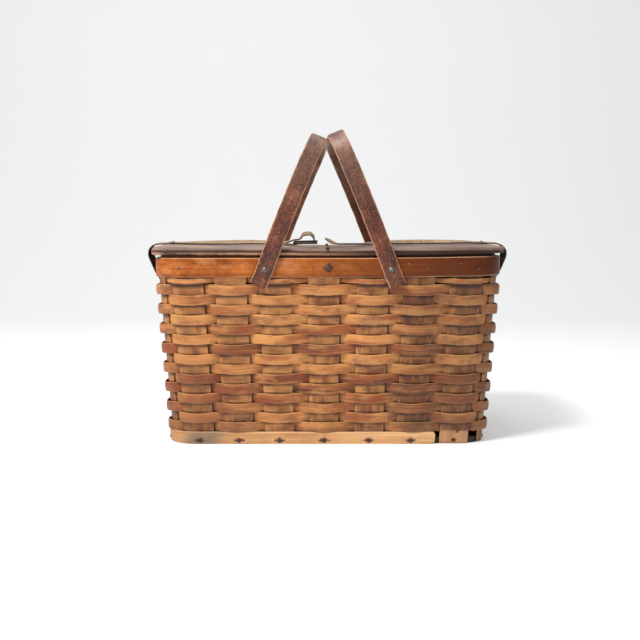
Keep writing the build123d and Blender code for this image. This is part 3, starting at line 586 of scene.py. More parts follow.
def makeWeavers():
    dice = random.Random(weave["seed"])
    start = (stakePlaces[14] + stakePlaces[15]) / 2  # the ends meet at the back
    lastRow = basket["rows"]
    for row in range(1, lastRow + 1):
        node = f"weaver_{row:02d}"
        low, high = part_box(node)
        z, width = (low[2] + high[2]) / 2, (high[2] - low[2]) * weave["fuller"]
        count = int(wallLength / weave["step"])
        alongs = [wallLength * i / count for i in range(count)]
        lifts, dips, overs, paintedShades = zip(*(weaveLift((start + along) % wallLength, row % 2 == 1) for along in alongs))
        spots = []
        for along, dip in zip(alongs, dips):
            spot, way = wallPoint(z, start + along)
            spots.append((spot + Vector((0, 0, dip * (row < lastRow))), way))
        widen = {1: weave["widenTop"], lastRow: weave["widenLow"]}.get(row, weave["widen"])
        # the weaver's painted shade in the slits beside the stakes goes into the stain attribute
        piece = splintPiece(f"weaverSplint{row:02d}", spots, True, {
            "along": alongs, "lift": lifts, "widen": [widen + weave["widenOver"] * over for over in overs],
            "stain": [paintedShade * weave["paintedShade"] for paintedShade in paintedShades]}, {
            "Width": width * dice.uniform(0.975, 1.01), "Thickness": weave["thickness"], "Crown": weave["crown"],
            "Lean": leanOut, "Wander": weave["wander"] * (weave["wanderTop"] if row == 1 else 1),
            "Ripple": weave["ripple"], "Frayed": weave["frayed"] * (weave["frayedLow"] if row == lastRow else 1),
            "Seed": row * 9.7 + 4, "Tint": dice.uniform(0.05, 0.95), "Material": weaverWood})
        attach(piece, "basket")
        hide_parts(node)


makeWeavers()
print("weavers made:", basket["rows"])


def nearNails(piece, heads):  # each point's way from the nearest nail, for the stains round it
    tree = KDTree(len(heads))
    for number, head in enumerate(heads):
        tree.insert((head.x, head.y, 0), number)
    tree.balance()
    spots = [vertex.co for vertex in piece.data.vertices]
    addLayers(piece.data, {"nail": [spot - heads[tree.find((spot.x, spot.y, 0))[1]] for spot in spots]})


def nodeParts(node):  # the points of each loose part of a CAD node, such as each nail of a set
    work = bmesh.new()
    work.from_mesh(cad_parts[node].data)
    bmesh.ops.remove_doubles(work, verts=work.verts, dist=1e-6)
    parts, seen = [], set()
    for vertex in work.verts:
        if vertex in seen:
            continue
        island, waiting = [], [vertex]
        seen.add(vertex)
        while waiting:
            current = waiting.pop()
            island.append(current.co.copy())
            for edge in current.link_edges:
                other = edge.other_vert(current)
                if other not in seen:
                    seen.add(other)
                    waiting.append(other)
        parts.append(island)
    work.free()
    return parts


def nailHeads(*nodes):  # each nail's outermost point on the basket's side
    def reachOut(spot):
        return max(abs(spot.x) / basket["halfLength"], abs(spot.y) / basket["halfDepth"])
    return [max(part, key=reachOut) for node in nodes for part in nodeParts(node)]


# Rim bands and the base band, from the same splint tree
bands = {
    "outerRim": {"node": "outer_rim", "width": 0.0254, "thickness": 0.004, "outward": 0.00315, "step": 0.0022,
                 "lean": 0.0, "wander": 0.0004, "frayed": 0.0005, "seed": 3.0, "material": rimWood},
    "innerRim": {"node": "inner_rim", "width": 0.022, "thickness": 0.0045, "outward": -0.0034, "step": 0.004,
                 "lean": 0.0, "wander": 0.0002, "frayed": 0.0003, "seed": 5.0, "material": innerWood},
    "baseBand": {"node": "base_band", "width": 0.0165, "thickness": 0.0035, "outward": 0.0029, "step": 0.0014,
                 "lean": leanOut, "wander": 0.0003, "frayed": 0.0005, "seed": 8.0, "material": baseWood,
                 "breakX": 0.14352, "breakY": -0.054896, "jag": 0.0032},
}
rimWarp = {"most": 0.0026, "reach": 0.2}


def makeBand(name, start, length, closed):
    size = bands[name]
    z = middleHeight(size["node"])
    count = int(length / size["step"])
    alongs = [length * i / (count if closed else count - 1) for i in range(count)]
    piece = splintPiece(name, [wallPoint(z, start + along) for along in alongs], closed, {
        "along": alongs, "lift": [size["outward"]] * count}, {
        "Width": size["width"], "Thickness": size["thickness"], "Crown": 0.0002, "Lean": size["lean"],
        "Wander": size["wander"], "Ripple": 0.0003, "Frayed": size["frayed"], "Seed": size["seed"], "Tint": 0.5,
        "Material": size["material"]})
    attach(piece, "basket")
    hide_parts(size["node"])
    return piece


def makeRims():
    outer = makeBand("outerRim", sideMiddle(2), wallLength, True)
    nearNails(outer, nailHeads("rim_nails", "pyramid_nails"))
    inner = makeBand("innerRim", sideMiddle(2), wallLength, True)
    for piece in (outer, inner):
        for vertex in piece.data.vertices:
            vertex.co.z += warpUp(vertex.co.x, rimWarp["most"], rimWarp["reach"])


def makeBaseBand():  # broken off on both sides of the front right corner
    size = bands["baseBand"]
    inward = basket["slope"] * (basket["rimBottom"] - middleHeight("base_band"))
    alongX, alongY = (basket[key] - inward - basket["cornerRadius"] for key in ("halfLength", "halfDepth"))
    start = sum(wallRuns()[0]) + (size["breakY"] / alongY + 1) / 2 * wallRuns()[1][0]
    end = wallLength + (size["breakX"] / alongX + 1) / 2 * wallRuns()[0][0]
    band = makeBand("baseBand", start, end - start, False)
    for vertex, grain in zip(band.data.vertices, band.data.attributes["grain"].data):
        for edge, way, tangent in ((0.0, 1, Vector((0, 1, 0))), (end - start, -1, Vector((1, 0, 0)))):
            if abs(grain.vector[0] - edge) < size["step"]:  # splintered ends
                vertex.co += tangent * way * size["jag"] * (0.2 + uneven(vertex.co.z * 420, way * 3, 1.7, 1))
    nearNails(band, nailHeads("base_nails"))


makeRims()
makeBaseBand()
print("bands made")

# Upright stakes: flat splint, wandering a little, those at the ends bent round the corners
stakes = {"rows": 64, "seed": 5, "inset": 0.0003, "bareFoot": 0.0165,
          "spans": {"front_stakes": stakePlaces[:7], "right_stakes": stakePlaces[7:12],
                    "back_stakes": stakePlaces[12:19], "left_stakes": stakePlaces[19:]},
          "half": [(0.2, 1.0), (0.4, 1.0), (0.6, 1.0), (0.8, 1.0), (0.94, 0.86), (0.985, 0.62), (1, 0.3)]}


def makeStakes():
    dice = random.Random(stakes["seed"])
    across = [(-s, thin) for s, thin in reversed(stakes["half"])] + [(0, 1.0)] + stakes["half"]
    ring = [(s, 1, thin) for s, thin in across] + [(s, -1, thin) for s, thin in reversed(across)]
    nails = nailHeads("base_nails")
    rowTop, rowFoot = middleHeight("weaver_01"), middleHeight("weaver_16")
    pitch = (rowTop - rowFoot) / (basket["rows"] - 1)
    rows, halfWidth = stakes["rows"], basket["stakeWidth"] / 2
    for node, places in stakes["spans"].items():
        verts, faces = [], []
        layers = {key: [] for key in ("grain", "tint", "wear", "pale", "phase")}
        low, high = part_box(node)
        for place in places:
            seed, tint = dice.uniform(0, 90), dice.uniform(0.1, 0.9)
            turned = 0.5 if stakePlaces.index(place) % 2 else 0.0
            faces += tubeFaces(len(ring), rows, len(verts))
            for row in range(rows + 1):
                z = low[2] + (high[2] - low[2]) * row / rows
                for s, face, thin in ring:
                    edge = uneven(z * 40, math.copysign(7, s), seed, 0.0006)
                    edge += uneven(z * 190, math.copysign(3, s), seed, 0.0003)
                    out = face * thin * basket["stakeThickness"] / 2 + uneven(z * 30, s * 0.8, seed + 20, 0.0003)
                    verts.append(wallPoint(z, place + s * (halfWidth - stakes["inset"] + edge), out)[0])
                    layers["grain"].append((z, s * halfWidth, seed))
                    layers["tint"].append(tint)
                    layers["wear"].append(abs(s) ** 14)
                    layers["phase"].append((z - rowTop) / (2 * pitch) + 20 + turned)
                    bare = z < stakes["bareFoot"] + uneven(s * 2, 0, 4, 0.002)
                    layers["pale"].append(float(place == stakePlaces[6] and bare))
        piece = closedPiece(node.replace("_s", "S"), verts, faces, layers, stakeWood)
        nearNails(piece, nails)
        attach(piece, "basket")
        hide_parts(node)


makeStakes()
print("stakes made")


# A bent strip: a section with rounded edges carried along a path, its width along one direction or one for each point
def sweepStrip(name, path, wide, width, thickness, seed, material, fullness, points, taper=None, under=0):
    ring = []
    for number in range(points):
        turn = 2 * math.pi * number / points
        face, across = math.cos(turn), math.sin(turn)
        ring.append((math.copysign(abs(face) ** fullness, face), math.copysign(abs(across) ** fullness, across)))
    verts, layers = [], {"grain": [], "wear": [], "under": []}
    along = 0.0
    wides = wide if isinstance(wide, list) else [wide] * len(path)
    stations = [path[0]] + list(path) + [path[-1]]
    wides = [wides[0]] + wides + [wides[-1]]
    last = len(stations) - 1
    for number, (spot, wide) in enumerate(zip(stations, wides)):
        before, after = stations[max(number - 1, 0)], stations[min(number + 1, last)]
        if number in (0, last):
            before, after = (path[0], path[1]) if number == 0 else (path[-2], path[-1])
        tangent = (after - before).normalized()
        side = wide.cross(tangent).normalized()
        if number:
            along += (spot - stations[number - 1]).length
        small = 0.8 if number in (0, last) else 1.0  # the ends are rounded off by half a millimetre
        capped = tangent * (-0.0005 if number == 0 else 0.0005 if number == last else 0.0)
        half = width * (taper(along) if taper else 1.0) / 2 - (1 - small) * thickness / 2
        for face, across in ring:
            verts.append(spot + side * face * thickness / 2 * small + wide * across * half + capped)
            layers["grain"].append((along, across * width / 2, seed))
            layers["wear"].append(abs(across) ** 6)
            layers["under"].append(1.0 if face * under > 0.3 else 0.0)
    return closedPiece(name, verts, tubeFaces(points, last), layers, material)


def roundedPath(corners, radius, step=0.003):  # runs joined by arcs, with points close enough for a smooth strip
    points = [corners[0].copy()]
    for before, corner, after in zip(corners, corners[1:], corners[2:]):
        way, onward = (corner - before).normalized(), (after - corner).normalized()
        bend = way.angle(onward)
        if bend < 0.02:
            points.append(corner.copy())
            continue
        cut = min(radius * math.tan(bend / 2), (corner - before).length * 0.49, (after - corner).length * 0.49)
        center = corner + (onward - way).normalized() * cut / math.tan(bend / 2) / math.cos(bend / 2)
        first, second = corner - way * cut - center, corner + onward * cut - center
        turns = max(3, int(math.degrees(bend) / 7))
        for turn in range(turns + 1):
            share = turn / turns
            arm = first * math.sin((1 - share) * bend) + second * math.sin(share * bend)
            points.append(center + arm / math.sin(bend))
    points.append(corners[-1].copy())
    dense = [points[0]]
    for a, b in zip(points, points[1:]):
        pieces = max(1, int((b - a).length / step))
        dense += [a.lerp(b, (i + 1) / pieces) for i in range(pieces) if (b - a).length > 1e-7]
    return dense


# Handles: bent strips, their legs bowed a little away from each other
handles = {"width": 0.0226, "thickness": 0.005, "pivotX": 0.082478, "pivotZ": 0.2343, "reachLeft": 0.189,
           "reachRight": 0.194, "tail": 0.022, "legY": 0.1491, "bend": 0.0325, "bow": 0.0018, "gap": 0.0003,
           "nick": 0.0004, "seed": 30}


def makeHandle(side, name, reach):
    size = handles
    slant = math.asin((size["pivotX"] - size["gap"]) / math.hypot(size["reachLeft"], size["width"] / 2))
    lean = slant - math.atan2(size["width"] / 2, size["reachLeft"])
    up = Vector((-side * math.sin(lean), 0, math.cos(lean)))
    wide = Vector((math.cos(lean), 0, side * math.sin(lean)))
    pivot = Vector((side * size["pivotX"], 0, size["pivotZ"]))
    top, foot, y = reach - size["thickness"] / 2, -size["tail"], size["legY"]
    corners = [Vector((0, *spot)) for spot in ((-y, foot), (-y, top), (y, top), (y, foot))]
    path = []
    for spot in roundedPath(corners, size["bend"]):
        share = clamp(spot.z / top)
        bow = size["bow"] * 4 * share * (1 - share)
        path.append(pivot + Vector((0, spot.y, 0)) + up * spot.z + wide * side * bow)
    piece = sweepStrip(f"handle{name.capitalize()}", path, wide, size["width"], size["thickness"], size["seed"] + side,
                       handleWood, 0.42, 28)
    for vertex, grain in zip(piece.data.vertices, piece.data.attributes["grain"].data):
        along, across = grain.vector[0], grain.vector[1]
        nick = uneven(along * 90, across * 60, side * 9, size["nick"])
        vertex.co += wide * nick * (across / size["width"] * 2)
    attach(piece, f"handle_{name}")
    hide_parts(f"handle_{name}")


makeHandle(-1, "left", handles["reachLeft"])
makeHandle(1, "right", handles["reachRight"])
print("handles made")

# Lids: boards with softened edges, crowned across; the right one is warped up towards its end
lids = {"halfLength": 0.236, "halfDepth": 0.1435, "corner": 0.038, "inner": 0.0019, "warp": 0.0030,
        "crownLeft": 0.0034, "crownRight": 0.0032, "crownLost": 0.0012, "crownMore": 0.0014,
        "outerFrom": 0.15, "edgeReach": 0.0125, "flat": 0.020, "full": 0.075, "wobble": 0.00035,
        "hingeY": 0.080008, "leafReach": 0.0241, "leafWidth": 0.0388, "leafDepth": 0.0012, "bayRadius": 0.0029,
        "bayDepth": 0.0019, "bay": 0.0208, "cutsAlong": 30, "cutsAcross": 12,
        "lower": [(0.0021, 0), (0.0006, 0.0006), (0, 0.0018)],  # (how far in, how far up from the bottom)
        "upper": [(0, -0.0020), (0.0006, -0.0007), (0.0021, 0), (0.0042, 0), (0.0075, 0), (0.0125, 0)]}  # from the top


def warpAt(x):
    return warpUp(x, lids["warp"], lids["halfLength"] - basket["warpStart"])


def lidRise(x, y):  # how far the lid's upper face stands above its flat height: a full, round edge, flat by the hinges
    share = clamp((abs(x) - lids["flat"]) / (lids["full"] - lids["flat"]))
    pastX, pastY = (abs(x) - lids["halfLength"] + lids["corner"], abs(y) - lids["halfDepth"] + lids["corner"])
    past = math.hypot(pastX, pastY) if pastX > 0 and pastY > 0 else max(pastX, pastY)
    inside = clamp((lids["corner"] - past) / lids["edgeReach"])
    outer = max(0.0, (abs(x) - lids["outerFrom"]) / (lids["halfLength"] - lids["outerFrom"]))
    crown = lids["crownLeft"] + lids["crownMore"] * outer if x < 0 else lids["crownRight"] - lids["crownLost"] * outer
    return crown * math.sqrt(1 - (1 - inside) ** 2) * smooth(share) + warpAt(x)


def cutBoxes(piece, boxes, material):  # takes boxes, each (sizes, middle), out of a piece
    cutters = []
    for sizes, middle in boxes:
        block = bmesh.new()
        bmesh.ops.create_cube(block, size=1)
        for vertex in block.verts:
            vertex.co = Vector([c * s + p for c, s, p in zip(vertex.co, sizes, middle)])
        mesh = bpy.data.meshes.new("cutter")
        block.to_mesh(mesh)
        block.free()
        cutters.append(toScene("cutter", mesh))
        modifier = piece.modifiers.new("recess", "BOOLEAN")
        modifier.object, modifier.operation, modifier.solver = cutters[-1], "DIFFERENCE", "EXACT"
    name = piece.name
    piece = keepMesh(piece, name, material)
    for cutter in cutters:
        bpy.data.objects.remove(cutter)
    return piece


def lidOutline():  # one half's plan, on the right, with points close enough to bend
    length, depth, corner, inner = (lids[key] for key in ("halfLength", "halfDepth", "corner", "inner"))
    angles = [math.pi / 2 * turn / 12 for turn in range(13)]
    bend = [(length - corner + corner * math.sin(a), -(depth - corner) - corner * math.cos(a)) for a in angles]
    outline = [(inner, -depth)] + bend + [(x, -y) for x, y in reversed(bend)] + [(inner, depth)]
    dense = []
    for (x, y), (nextX, nextY) in zip(outline, outline[1:] + outline[:1]):
        count = max(1, int(math.hypot(nextX - x, nextY - y) / 0.006))
        dense += [(x + (nextX - x) * i / count, y + (nextY - y) * i / count) for i in range(count)]
    return dense


def lidPoint(x, y, z, inset):  # a point of the outline drawn in, with a little unevenness
    length, depth, corner = lids["halfLength"], lids["halfDepth"], lids["corner"]
    pull = inset + abs(uneven(x * 90, y * 90, z * 300, lids["wobble"]))
    out = Vector((max(0.0, x - (length - corner)), math.copysign(max(0.0, abs(y) - (depth - corner)), y)))
    if out.length < 1e-9:
        out = Vector((1 if x > length - 1e-6 else 0, math.copysign(1, y) if abs(y) > depth - 1e-6 else 0))
    else:
        out.normalize()
    if x >= lids["inner"] + 1e-6:
        return Vector((x, y)) - out * pull
    return Vector((x, y - math.copysign(pull, y) if abs(y) > depth - 1e-6 else y))


def makeLid(side, name):
    size = lids
    dense = lidOutline()
    work = bmesh.new()
    loops = []
    for rings, base in ((size["lower"], lidBottom), (size["upper"], lidTop)):
        for inset, above in rings:
            spots = [lidPoint(x, y, base + above, inset) for x, y in dense]
            loops.append([work.verts.new((side * spot.x, spot.y, base + above)) for spot in spots])
    count = len(dense)
    for lower, upper in zip(loops, loops[1:]):
        for i in range(count):
            work.faces.new((lower[i], lower[(i + 1) % count], upper[(i + 1) % count], upper[i]))
    work.faces.new(list(reversed(loops[0])))
    work.faces.new(loops[-1])
    bmesh.ops.remove_doubles(work, verts=work.verts, dist=1e-6)
    bmesh.ops.recalc_face_normals(work, faces=work.faces)
    mesh = bpy.data.meshes.new(name)
    work.to_mesh(mesh)
    work.free()
    recesses = []
    for y in (-size["hingeY"], size["hingeY"]):
        recesses.append(((2 * size["leafReach"], size["leafWidth"], 2 * size["leafDepth"]), (0, y, lidTop)))
        recesses.append(((2 * size["bayRadius"], 2 * size["bay"], 2 * size["bayDepth"]), (0, y, lidTop)))
    lid = cutBoxes(toScene(name, mesh), recesses, lidWood)
    work = bmesh.new()
    work.from_mesh(lid.data)
    along, across = size["cutsAlong"], size["cutsAcross"]
    cuts = [((side * size["halfLength"] * number / along, 0, 0), (1, 0, 0)) for number in range(1, along)]
    cuts += [((0, size["halfDepth"] * number / across, 0), (0, 1, 0)) for number in range(1 - across, across)]
    for place, way in cuts:
        bmesh.ops.bisect_plane(work, geom=work.verts[:] + work.edges[:] + work.faces[:],
                               plane_co=place, plane_no=way, dist=1e-6)
    for vertex in work.verts:
        upper = clamp((vertex.co.z - lidBottom) / (lidTop - lidBottom))
        warp = warpAt(vertex.co.x)
        vertex.co.z += warp + (lidRise(vertex.co.x, vertex.co.y) - warp) * upper
    work.to_mesh(lid.data)
    work.free()
    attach(lid, name)
    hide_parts(name)


makeLid(-1, "lid_left")
makeLid(1, "lid_right")
print("lids made")

# Strap: two halves along the lids, their ends hanging past the rim, the left one through the buckle
strap = {"width": 0.022, "thickness": 0.0022, "solidThickness": 0.003, "lift": 0.0034, "drop": 0.0475, "bulge": 0.0225,
         "shoulder": 0.009, "slope": 0.0025, "upperBend": 0.0045, "lowerBend": 0.010, "knee": 0.0095,
         "kneeDrop": 0.0325,
         "endX": 0.237, "endRadius": 0.024, "runRadius": 0.0052, "runStart": -0.215, "archStart": -0.0395,
         "tipBase": 0.015, "tipEnd": -0.0026, "tipRise": 0.0075, "buckleLeft": -0.048, "wire": 0.0016,
         "rise": 0.0048, "climb": 0.0156, "slotLeft": -0.0513, "slotSizes": (0.1, 0.0036, 0.036), "eye": 0.0029,
         "hair": 0.0001,
         "tilt": 3, "tiltMore": 9, "tiltFrom": 0.045, "twist": 14, "tuck": 0.0028, "middle": 0.13, "lidStart": 0.05,
         "loopLeft": -0.0593, "loopRight": -0.0435, "loopLow": 0.2628, "loopHigh": 0.2641,
         "arch": [(-0.0345, 0.2785), (-0.0245, 0.2795), (-0.0192, 0.2745), (-0.0190, 0.2655)],
         # how high each half's humps rise, as (x, height)
         "left": [(-0.258, 0), (-0.236, 0.0004), (-0.215, 0.0005), (-0.183, 0.0015), (-0.150, 0.0021), (-0.110, 0.0026),
                  (-0.085, 0.0020), (-0.062, 0.0005), (-0.050, 0)],
         "right": [(0.045, 0), (0.075, 0.0016), (0.105, 0.0027), (0.134, 0.0031), (0.191, 0.0031), (0.220, 0.0020),
                   (0.236, 0.0012), (0.249, 0.0005), (0.258, 0)]}
strapZ = lidTop + strap["lift"] + strap["solidThickness"] / 2


def midline(points, side=1):  # points (x, z) in the plane of the strap's middle line
    return [Vector((side * x, 0, z)) for x, z in points]


def strapEnd(side):  # from the hanging end up to the lid's edge
    half = strap["solidThickness"] / 2
    bulgeX = lids["halfLength"] + strap["bulge"] - half
    return midline([
        (strap["endX"] + half, lidTop - strap["drop"]), (bulgeX - strap["knee"], lidTop - strap["kneeDrop"]),
        (bulgeX, lidTop - strap["lowerBend"]), (bulgeX - strap["slope"], strapZ - strap["upperBend"]),
        (lids["halfLength"] + strap["shoulder"], strapZ)], side)


def tiltAt(x):  # the strap's back edge stands higher, most of all in the middle of each half
    reach = strap["middle"] - strap["lidStart"]
    share = max(0.0, 1 - ((abs(x) - strap["middle"]) / reach) ** 2) if abs(x) < lids["halfLength"] else 0.0
    return math.radians(strap["tilt"] * clamp((abs(x) - strap["tiltFrom"]) / 0.02) + strap["tiltMore"] * share)


def settle(path, side):  # lays the run on the crowned lid with its humps; gives each point's direction across
    humps = strap["left"] if side < 0 else strap["right"]
    wides = []
    for spot in path:
        tilt = tiltAt(spot.x)
        if abs(spot.x) < 0.047 and spot.z > strapZ + 0.006:  # on the arch
            tilt = math.radians(strap["tilt"] + strap["tiltMore"]) * min(1.0, (spot.z - strapZ - 0.006) / 0.004)
        if spot.z > strapZ - 0.0035:
            lift = 0.0
            for (x, rise), (nextX, nextRise) in zip(humps, humps[1:]):
                if x <= spot.x < nextX:
                    lift = rise + (nextRise - rise) * smooth((spot.x - x) / (nextX - x))
            if strap["lidStart"] < abs(spot.x) < 0.238:
                under = lidTop + lidRise(spot.x, 0) + strap["thickness"] / 2 + math.sin(tilt) * strap["width"] / 2
                lift = max(lift, under + strap["hair"] - spot.z)
            spot.z += lift
        hang = clamp((strapZ - 0.001 - spot.z) / 0.012) if abs(spot.x) > 0.2 else 0.0
        turn = math.radians(strap["twist"]) * hang
        spot.x -= side * strap["tuck"] * hang
        wides.append(Vector((-side * math.sin(turn), math.cos(turn) * math.cos(tilt), math.sin(tilt))).normalized())
    return wides


def leatherStrip(name, path, wide, seed, thickness=strap["thickness"], taper=None, under=0):
    return sweepStrip(name, path, wide, strap["width"], thickness, seed, strapLeather, 0.5, 24, taper, under)


def cutSlot(piece):  # the prong's eye passes through here
    middle = (strap["slotLeft"] + strap["slotSizes"][0] / 2, 0, lidTop + strap["slotSizes"][2] / 2)
    piece = cutBoxes(piece, [(strap["slotSizes"], middle)], strapLeather)
    piece.data.shade_smooth()
    return piece


def paleEnd(piece):  # the hanging ends' edges are worn tan, not dark
    for vertex, wear in zip(piece.data.vertices, piece.data.attributes["wear"].data):
        if abs(vertex.co.x) > 0.24 and vertex.co.z < strapZ - 0.003:
            wear.value = 0.0


def makeStrapLeft():
    crossing = lidTop + strap["rise"] + strap["wire"] + strap["eye"] + strap["hair"] + strap["thickness"] / 2
    run = midline([(strap["runStart"], strapZ), (strap["buckleLeft"] - strap["climb"], strapZ),
                   (strap["buckleLeft"], crossing), (strap["archStart"], crossing + 0.001)] + strap["arch"])
    path = roundedPath(strapEnd(-1) + run[:1], strap["endRadius"], 0.002)
    path += roundedPath(run, strap["runRadius"], 0.002)[1:]
    piece = cutSlot(leatherStrip("strapLeft", path, settle(path, -1), 3, under=1))
    paleEnd(piece)
    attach(piece, "lid_left")
    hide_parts("strap_left")


def makeBuckleLoop():
    ends, thickness = (strap["loopLeft"] + 0.0005, strap["loopRight"] - 0.0005), strap["loopHigh"] - strap["loopLow"]
    path = roundedPath(midline([(x, (strap["loopLow"] + strap["loopHigh"]) / 2) for x in ends]), 0.002, 0.002)
    piece = cutSlot(leatherStrip("buckleLoop", path, Vector((0, 1, 0)), 6, thickness))
    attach(piece, "lid_left")
    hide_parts("buckle_loop")


def makeStrapRight():
    path = roundedPath(strapEnd(1) + midline([(strap["tipBase"], strapZ)]), strap["endRadius"], 0.002)
    piece = leatherStrip("strapRight", path, settle(path, 1), 4, under=-1)
    paleEnd(piece)
    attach(piece, "lid_right")
    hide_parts("strap_right")


def makeStrapTip():  # lifted, tilted and rounded off
    base, rise = strap["tipBase"], strap["tipRise"]
    path = roundedPath(midline([(base + 0.001, strapZ), (base - 0.005, strapZ + 0.0012),
                                (base - 0.012, strapZ + 0.0044), (strap["tipEnd"], strapZ + rise)]), 0.02, 0.0012)
    tilts = [math.radians(strap["tilt"] + strap["tiltMore"]) * clamp((base - spot.x) / 0.01) for spot in path]
    piece = leatherStrip("strapTip", path, [Vector((0, math.cos(tilt), math.sin(tilt))) for tilt in tilts], 5, under=-1,
                         taper=lambda along: math.sqrt(max(0.12, 1 - (max(0.0, along - 0.009) / 0.0105) ** 2)))
    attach(piece, "lid_right")
    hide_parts("strap_tip")
    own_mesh(piece)


makeStrapLeft()
makeBuckleLoop()
makeStrapRight()
makeStrapTip()
print("straps made")

# Tacks that hold the strap, one instance for each place
tack = {"rise": 0.001, "shaft": 0.0008, "length": 0.0095}


def makeTackTree():
    maker = Maker("tacks", "Head", "Rise", "Shaft", "Length")
    given = maker.given
    dome = maker.wire("GeometryNodeMeshUVSphere", {}, {"Segments": 20, "Rings": 12, "Radius": 1.0})
    size = maker.vector(given["Head"], given["Head"], given["Rise"])
    dome = maker.wire("GeometryNodeTransform", {}, {"Geometry": dome, "Scale": size})
    shaft = maker.wire("GeometryNodeMeshCylinder", {}, {
        "Vertices": 12, "Radius": given["Shaft"], "Depth": given["Length"]})
    drop = maker.vector(0.0, 0.0, given["Length"] * -0.5)
    shaft = maker.wire("GeometryNodeTransform", {}, {"Geometry": shaft, "Translation": drop})
    whole = maker.wire("GeometryNodeJoinGeometry", {}, {0: [dome, shaft]})
    tacks = maker.wire("GeometryNodeInstanceOnPoints", {}, {"Points": given["Geometry"], "Instance": whole})
    return maker.finish(maker.wire("GeometryNodeRealizeInstances", {}, {0: tacks}))


tackTree = makeTackTree()


def makeTacks(side, node, name):
    parts = nodeParts(node)
    places = []
    for part in parts:
        x, y = ((min(p[i] for p in part) + max(p[i] for p in part)) / 2 for i in (0, 1))
        path = [Vector((x, y, strapZ))]
        settle(path, side)
        places.append((x, y, path[0].z + y * math.sin(tiltAt(x)) + strap["thickness"] / 2 - strap["hair"]))
    mesh = bpy.data.meshes.new(name)
    mesh.from_pydata(places, [], [])
    points = toScene(name, mesh)
    useTree(points, tackTree, {
        "Head": (max(p.x for p in parts[0]) - min(p.x for p in parts[0])) / 2, "Rise": tack["rise"],
        "Shaft": tack["shaft"], "Length": tack["length"], "Material": darkIron})
    piece = keepMesh(points, name)
    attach(piece, "lid_" + node.rsplit("_", 1)[1])
    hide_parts(node)


makeTacks(-1, "strap_tacks_left", "tacksLeft")
makeTacks(1, "strap_tacks_right", "tacksRight")
print("tacks made")

# CAD nodes that stay, by finish
makeBoardWood("baseBoard", [(120, 84, 56), (170, 126, 88), (200, 160, 120)],
              [(96, 62, 40), (150, 108, 74), (180, 140, 104)], (190, 150, 110))
keptNodes = {
    "lidBoard": ["center_bar"], "baseBoard": ["bottom_board"],
    "nailSteel": ["rim_nails"], "rustIron": ["pyramid_nails"],
    "darkIron": ["base_nails", "buckle_frame", "buckle_prong"],
    "rivetSteel": ["handle_rivets_left", "handle_rivets_right", "rivet_washers"],
    "hingeBrass": ["hinge_posts", "hinge_pins", "hinge_leaves_left", "hinge_leaves_right", "hinge_nails_left",
                   "hinge_nails_right"],
}
for finish, nodes in keptNodes.items():
    for node in nodes:
        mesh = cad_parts[node].data
        mesh.materials.clear()
        mesh.materials.append(bpy.data.materials[finish])
print("kept nodes finished:", sum(len(nodes) for nodes in keptNodes.values()))

# Floor, backdrop, light and camera
studio = {"floor": (250, 250, 250), "matt": (0.9, 0.9, 0.9, 1), "sky": (244, 246, 250), "light": 0.32, "glow": 0.3,
          "wall": 1.6, "bend": 1.0, "wide": 8, "near": -6, "high": 6,
          "lamps": {"keyLeft": ((-1.15, -1.25, 2.5), (0, 0, 0.15), 0.7, 84),  # place, target, size, power
                    "fillRight": ((1.9, -1.5, 1.1), (0, 0, 0.15), 1.6, 4),
                    "topSoft": ((0.1, 0.2, 2.2), (0, 0, 0.2), 1.6, 22)},
          "camera": (-0.0105, -1.527, 0.3013), "tilt": 84.5, "lens": 59.57, "sensor": 36}


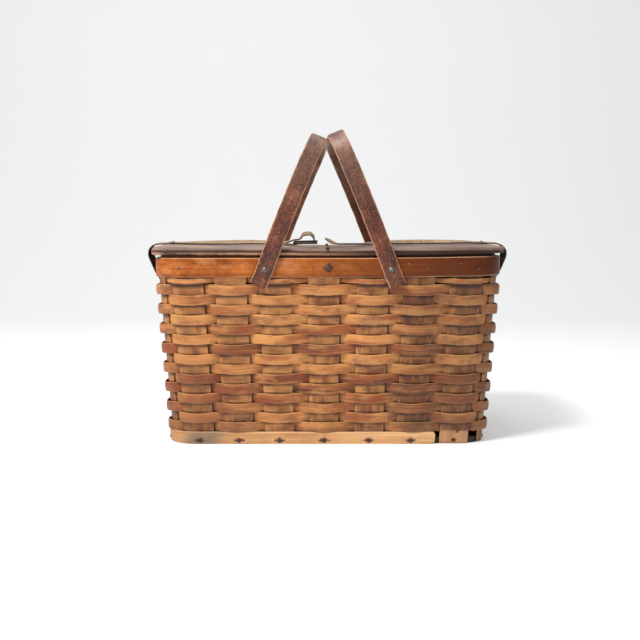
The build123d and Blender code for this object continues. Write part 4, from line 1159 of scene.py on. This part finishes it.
def makeFloor():  # matt, with a faint glow of its own for what looks at it
    paint = bpy.data.materials.new("paleFloor")
    paint.use_nodes = True
    builder = Builder(paint.node_tree)
    builder.tree.nodes.clear()
    ray = builder.add("ShaderNodeLightPath")
    camera, glossy = (Wire(builder, ray.outputs[key]) for key in ("Is Camera Ray", "Is Glossy Ray"))
    matt = builder.wire("ShaderNodeBsdfDiffuse", {}, {0: studio["matt"]})
    glow = builder.wire("ShaderNodeEmission", {}, {0: (*srgb(studio["floor"]), 1)})
    share = builder.math("MAXIMUM", camera, glossy) * studio["glow"]
    mixed = builder.wire("ShaderNodeMixShader", {}, {0: share, 1: matt, 2: glow})
    builder.add("ShaderNodeOutputMaterial", {}, {0: mixed})
    work = bmesh.new()
    wall, bend = studio["wall"], studio["bend"]
    angles = [a / 12 * math.pi / 2 for a in range(1, 13)]
    profile = [(studio["near"], 0), (wall, 0)]
    profile += [(wall + bend * math.sin(a), bend - bend * math.cos(a)) for a in angles]
    profile.append((wall + bend, studio["high"]))
    rows = [[work.verts.new((x, y, z)) for x in (-studio["wide"], studio["wide"])] for y, z in profile]
    for lower, upper in zip(rows, rows[1:]):
        work.faces.new((lower[0], lower[1], upper[1], upper[0]))
    mesh = bpy.data.meshes.new("floor")
    work.to_mesh(mesh)
    work.free()
    mesh.shade_smooth()
    mesh.materials.append(paint)
    toScene("floor", mesh)


def makeLight():
    world = bpy.data.worlds.new("studio")
    bpy.context.scene.world = world
    world.use_nodes = True
    sky = world.node_tree.nodes["Background"].inputs
    sky[0].default_value, sky[1].default_value = (*srgb(studio["sky"]), 1), studio["light"]
    for name, (place, target, size, power) in studio["lamps"].items():
        lamp = bpy.data.lights.new(name, "AREA")
        lamp.size, lamp.energy = size, power
        item = toScene(name, lamp)
        item.location = place
        item.rotation_euler = (Vector(target) - Vector(place)).to_track_quat("-Z", "Y").to_euler()


def makeCamera():
    lens = bpy.data.cameras.new("view")
    lens.lens, lens.sensor_width = studio["lens"], studio["sensor"]
    camera = toScene("view", lens)
    camera.location = studio["camera"]
    camera.rotation_euler = (math.radians(studio["tilt"]), 0, 0)
    bpy.context.scene.camera = camera


makeFloor()
makeLight()
makeCamera()
bpy.context.scene.view_settings.view_transform = "Standard"

print("stage made")
